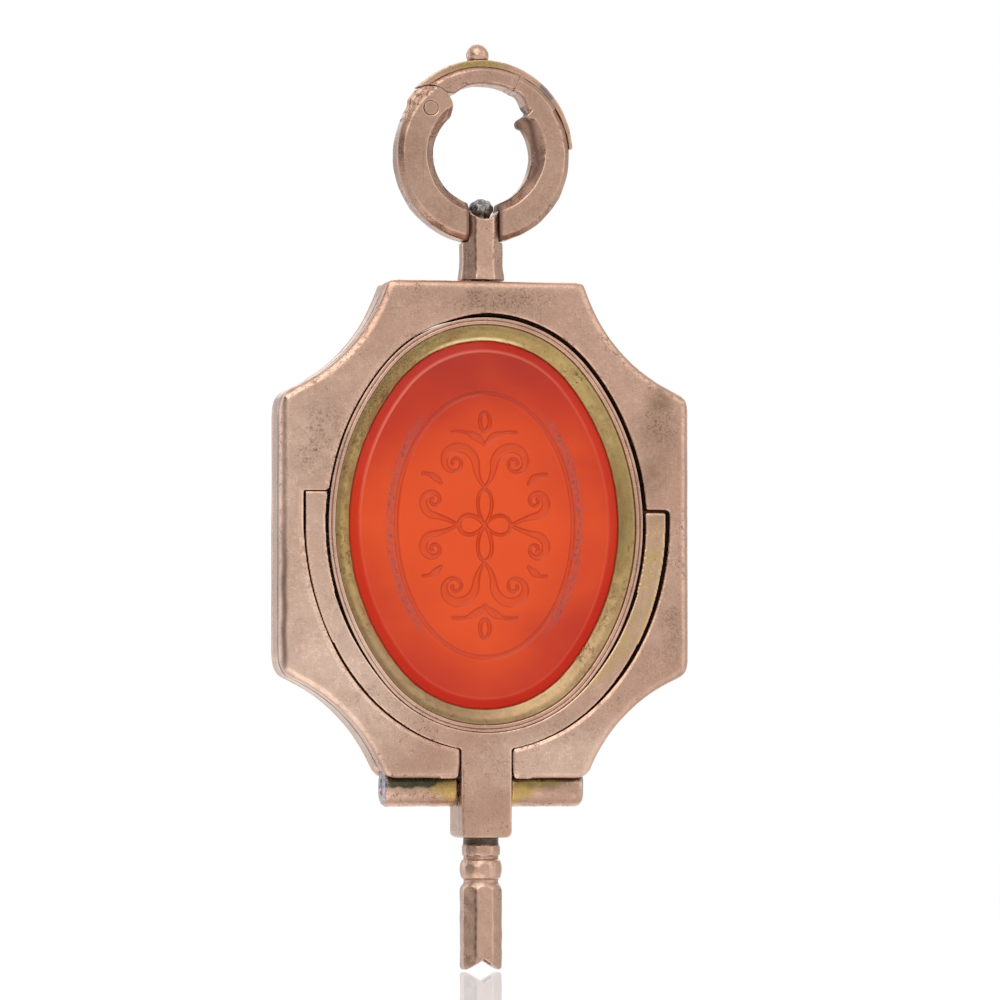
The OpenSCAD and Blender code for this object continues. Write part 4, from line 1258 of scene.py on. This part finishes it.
class WATCHKEY_OT_engrave_stone(bpy.types.Operator):
    """Cuts the stone, its bevel, the border with stippled sides and the scrollwork"""
    bl_idname = "watch_key.engrave_stone"
    bl_label = "Engrave the stone"

    def execute(self, context):
        seal = settings()[2]
        around, rings = 720, 170
        girdle, lip, table = 0.8, 1.5, 2.2
        table_y, lip_y, girdle_y = (STONE_LOW[1] + k * STONE_LIP_DROP for k in range(3))
        edge = four_arc_oval(table, around)
        flat = np.concatenate([edge * s for s in np.linspace(1.0, 0.004, rings)])
        centre = np.array([0.0, -0.02])
        away = flat - centre
        half_w, half_h = seal.border_w / MM, seal.border_h / MM
        level = np.hypot(away[:, 0] / half_w, away[:, 1] / half_h)
        slope = np.hypot(away[:, 0] / half_w ** 2, away[:, 1] / half_h ** 2) / np.maximum(level, 1e-6)
        off_border = (level - 1.0) / np.maximum(slope, 1e-6)
        groove, depth = seal.groove / MM, seal.depth / MM
        border = np.abs(off_border) - groove
        cut = 0.8 * depth * (1.0 - smooth_step(border, -0.07, 0.05))
        side = np.clip((np.abs(away[:, 0]) / half_w - 0.62) / 0.2, 0.0, 1.0)
        ragged = waves(np.stack([flat[:, 0], flat[:, 1], np.ones(len(flat))], axis=1), 1.1, 52, 20)
        band = side * np.clip(1.7 - np.abs(off_border - 0.42) / (0.2 + 0.07 * ragged), 0.0, 1.0)
        spread = np.stack([flat[:, 0], np.zeros(len(flat)), flat[:, 1]], axis=1)
        stipple = np.clip(waves(spread, 0.45, 51, 24) + 0.2, 0.0, 1.0)
        cut += 0.07 * band * stipple
        gap = distance_to_lines(away, ornament_lines())
        cut = np.maximum(cut, depth * (1.0 - smooth_step(gap, -0.11, 0.05)))
        stroke_wall, border_wall = (np.exp(-((off + 0.01) / 0.045) ** 2) for off in (gap, border))
        walls = np.maximum(stroke_wall, 0.8 * border_wall)
        points = [(x, STONE_HIGH[1], z + SEAL_Z) for x, z in four_arc_oval(girdle, around)]
        points += [(x, girdle_y, z + SEAL_Z) for x, z in four_arc_oval(girdle, around)]
        points += [(x, lip_y, z + SEAL_Z) for x, z in four_arc_oval(lip, around)]
        for part in (0.35, 0.7, 0.93):
            inset = lip + (table - lip) * part
            points += [(x, lip_y - (lip_y - table_y) * part - 0.012 * (part == 0.93), z + SEAL_Z)
                       for x, z in four_arc_oval(inset, around)]
        lead = len(points) // around
        points += [(x, table_y + c, z + SEAL_Z) for (x, z), c in zip(flat, cut)]
        sections = lead + rings
        faces = ring_faces(around, sections, False)
        faces.append(tuple(range(around - 1, -1, -1)))
        faces.append(tuple((sections - 1) * around + i for i in range(around)))
        mesh = new_mesh("Stone", points, faces)
        off_table, on_table = np.zeros(lead * around), np.zeros(rings * around)
        frost = np.concatenate([off_table, band * (0.35 + 0.65 * stipple)])
        # Painted shade on the groove walls, with a faint dull tint on the cut floors.
        engraved = np.concatenate([off_table, np.clip(walls + 0.1 * (cut > 0.5 * depth), 0.0, 1.0)])
        # A painted inner reflection, deeper red round the bevel and girdle, strongest at the bottom.
        rim = np.concatenate([np.tile(0.8 - 0.2 * edge[:, 1] / edge[:, 1].max(), lead), on_table])
        # A painted highlight along the table's edge, brightest at the upper left.
        glint = np.zeros(len(points))
        turn = np.arctan2(edge[:, 1], edge[:, 0])
        glint[(lead - 1) * around:(lead + 1) * around] = np.tile(
            0.2 + 0.8 * np.clip(np.cos(turn - math.radians(118.0)), 0.0, 1.0) ** 2, 2)
        for name, values in (("frost", frost), ("engraved", engraved), ("bevel", rim), ("table_edge_highlight", glint)):
            made = mesh.attributes.new(name, "FLOAT", "POINT")
            made.data.foreach_set("value", values.astype(np.float32))
        show("Seal_stone", mesh, "seal_stone", self.carnelian(seal))
        return {"FINISHED"}

    def carnelian(self, seal):
        """Glowing stone: brighter in the middle, clouded, darker at its ends, with a painted inner reflection
        round its bevel, a painted highlight along its table's edge and painted shade on its groove walls.
        """
        made, tree, shader = start_material("Carnelian_polished")
        place = place_mm(tree)
        above = put(tree, "ShaderNodeMath", axis(tree, place, 2), SEAL_Z, operation="SUBTRACT")
        across = axis(tree, place, 0)
        sides = ((above, 0.07), (above, -0.052), (across, 0.062), (across, -0.055))
        outward = 0.0
        for value, steep in sides:
            part = put(tree, "ShaderNodeMath", times_open(tree, value, steep), 0.0, operation="MAXIMUM")
            outward = plus(tree, outward, part)
        cloud = grain(tree, stretched(tree, place, (0.0, 0.5, 0.0), (0.6, 0.6, 1.0)), 0.16, 2.0, 0.45, 0.6)
        depth = between(tree, plus(tree, outward, times_open(tree, cloud, 0.8)), 0.62, 1.5)
        tone = blend(tree, depth, tuple(seal.stone), tuple(seal.stone_deep))
        top_cloud = between(tree, plus(tree, above, times_open(tree, cloud, 5.0)), 9.0, 15.0, 0.0, 0.5)
        tone = blend(tree, top_cloud, tone, tint(150, 44, 40))
        # Painted inner reflection on the bevel, painted highlight along the table's edge, painted shade on
        # the groove walls.
        tone = blend(tree, times(tree, attribute(tree, "bevel"), 0.75), tone, tint(210, 42, 22))
        tone = blend(tree, times(tree, attribute(tree, "table_edge_highlight"), 0.45), tone, tint(246, 160, 136))
        tone = blend(tree, times(tree, attribute(tree, "engraved"), 0.5), tone, tint(164, 34, 18))
        tone = blend(tree, times(tree, attribute(tree, "frost"), 0.75), tone, tuple(seal.frost))
        specks = between(tree, grain(tree, place, 7.0, 4.0, 0.8), 0.54, 0.6)
        dark_specks = times(tree, times(tree, attribute(tree, "frost"), specks), 0.6)
        tone = blend(tree, dark_specks, tone, tint(84, 44, 52))
        tree.links.new(tone, shader.inputs["Base Color"])
        rough = plus(tree, 0.14, times(tree, attribute(tree, "frost"), 0.4))
        tree.links.new(rough, shader.inputs["Roughness"])
        shader.inputs["IOR"].default_value = 1.54
        shine = between(tree, attribute(tree, "bevel"), 0.0, 1.0, 0.22, 0.07)
        tree.links.new(shine, shader.inputs["Specular IOR Level"])
        shader.inputs["Subsurface Weight"].default_value = 0.35
        shader.inputs["Subsurface Radius"].default_value = (1.0, 0.25, 0.1)
        shader.inputs["Subsurface Scale"].default_value = 1.2 * MM
        soft = raised(tree, grain(tree, place, 0.5, 2.0, 0.4), 0.1, 0.06)
        tree.links.new(soft, shader.inputs["Normal"])
        return made


class WATCHKEY_OT_turn_shank(bpy.types.Operator):
    """Files the eight-sided key pipe with its bead and collar, and opens its socket"""
    bl_idname = "watch_key.turn_shank"
    bl_label = "Turn the shank"

    def execute(self, context):
        half, groove, neck = PIPE_HALF, 1.12, 1.15
        pipe_top, bead_z, collar_z, neck_z, tab_z = 5.6, 5.82, 7.34, 8.04, 8.5
        levels = [(0.0, 1.19, 1.24), (0.07, 1.25, 1.32), (0.18, half, 1.375)]
        levels += [(z, half, 1.385) for z in np.linspace(0.3, 5.1, 14)]
        levels += [(5.1 + 0.5 * t, half, 1.385 - 0.27 * t ** 1.6) for t in np.linspace(0.08, 1.0, 12)]
        levels += [(pipe_top + 0.02, half, groove), (bead_z - 0.02, half, groove)]
        for t in np.linspace(0.0, 1.0, 21):
            swell = math.sin(math.pi * t) ** 0.5
            levels.append((bead_z + 1.3 * t, 1.33, groove + 0.25 * swell))
        levels += [(collar_z - 0.12, half, groove), (collar_z - 0.02, half, groove)]
        levels += [(collar_z + 0.7 * t, 1.19, groove + 0.13 * min(1.0, 2.4 * math.sin(math.pi * t)) ** 0.5)
                   for t in np.linspace(0.02, 0.98, 12)]
        levels += [(neck_z + 0.02, half, neck), (tab_z, half, neck)]
        mesh = stacked("Shank", levels)
        mesh = cut_away(mesh, block((-0.75, -0.75, -1.0), (0.75, 0.75, 5.0)))
        mesh = cut_away(mesh, wedge(1.06, 0.72, 3.0))
        mesh = through_modifier(mesh, "REMESH", mode="VOXEL", voxel_size=0.04)
        rub_down(mesh, 2)
        uneven(mesh, 0.018, 2.6, 61)
        show("Key_pipe", mesh, "key_pipe", rose_gold(), facet_gloom(half, 0.6, pipe_top))
        return {"FINISHED"}


class WATCHKEY_OT_shape_post(bpy.types.Operator):
    """Files the eight-sided post and makes the round head of the pin that it turns on"""
    bl_idname = "watch_key.shape_post"
    bl_label = "Shape the post"

    def execute(self, context):
        worn_copy("Swivel_post", "swivel_post", rose_gold(), 0.05, 6, height=0.014, longest=2.4,
                  seed=71, gloom=facet_gloom(POST_HALF, POST_LOW[2], POST_HIGH[2]), shaped=flared_foot,
                  room=FOOT_ROOM)
        worn_copy("Swivel_pin", "swivel_pin", dark_steel(), 0.04, 3, height=0.06, longest=1.1,
                  seed=72, shaped=hammered_head)
        return {"FINISHED"}


class WATCHKEY_OT_shape_ring(bpy.types.Operator):
    """Makes the two limbs of the ring, its gate and the gate's rivet"""
    bl_idname = "watch_key.shape_ring"
    bl_label = "Shape the ring"

    def execute(self, context):
        fine = settings()[1].fine_step / MM
        pieces = (("Ring_left", "bow_left", bevelled), ("Ring_right", "bow_right", catch_filled),
                  ("Ring_gate", "gate_arm", gate_thickened))
        for number, (name, node, shaped) in enumerate(pieces):
            worn_copy(name, node, ring_gold(), fine, 24, height=0.02, longest=3.4,
                      seed=81 + number, weight=seam_weight, keep=0.5, gloom=ring_gloom, burr=at_seams,
                      shaped=shaped)
        worn_copy("Gate_rivet", "gate_rivet", ring_gold(), 0.03, 1, height=0.0, seed=84,
                  weight=lambda points: 0.2 + np.zeros(len(points)))
        return {"FINISHED"}


class WATCHKEY_OT_shape_leaf(bpy.types.Operator):
    """Makes the gate's spring leaf with its thumb ball and catch pin"""
    bl_idname = "watch_key.shape_leaf"
    bl_label = "Shape the spring leaf"

    def execute(self, context):
        worn_copy("Spring_leaf", "gate_spring", leaf_gold(), 0.045, 3, height=0.012,
                  longest=2.6, seed=91)
        worn_copy("Thumb_ball", "thumb_ball", rose_gold(), 0.04, 3, height=0.008, longest=0.9,
                  seed=92)
        worn_copy("Catch_pin", "catch_pin", dark_steel(), 0.04, 2, height=0.006, seed=93)
        return {"FINISHED"}


OPERATORS = (
    WATCHKEY_OT_set_stage, WATCHKEY_OT_dress_frame, WATCHKEY_OT_dress_hinge, WATCHKEY_OT_dress_cradle,
    WATCHKEY_OT_dress_setting, WATCHKEY_OT_engrave_stone, WATCHKEY_OT_turn_shank, WATCHKEY_OT_shape_post,
    WATCHKEY_OT_shape_ring, WATCHKEY_OT_shape_leaf,
)
GROUPS = (
    ("watch_key_metal", KeyMetalSettings), ("watch_key_form", KeyFormSettings),
    ("watch_key_seal", KeySealSettings), ("watch_key_stage", KeyStageSettings),
)


class WATCHKEY_PT_panel(bpy.types.Panel):
    """Lists the settings and the steps in order"""
    bl_idname = "WATCHKEY_PT_panel"
    bl_label = "Pocket watch key"
    bl_space_type = "VIEW_3D"
    bl_region_type = "UI"
    bl_category = "Watch Key"

    def draw(self, context):
        for name, group in GROUPS:
            box = self.layout.box()
            for field in group.__annotations__:
                box.prop(getattr(context.scene, name), field)
        for step in OPERATORS:
            self.layout.operator(step.bl_idname)


def register():
    for name, group in GROUPS:
        bpy.utils.register_class(group)
        setattr(bpy.types.Scene, name, bpy.props.PointerProperty(type=group))
    for made in OPERATORS + (WATCHKEY_PT_panel,):
        bpy.utils.register_class(made)


def unregister():
    for made in reversed(OPERATORS + (WATCHKEY_PT_panel,)):
        bpy.utils.unregister_class(made)
    for name, group in reversed(GROUPS):
        delattr(bpy.types.Scene, name)
        bpy.utils.unregister_class(group)


def main():
    register()
    for step in OPERATORS:
        group, _, action = step.bl_idname.partition(".")
        getattr(getattr(bpy.ops, group), action)()
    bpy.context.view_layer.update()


if __name__ == "__main__":
    main()
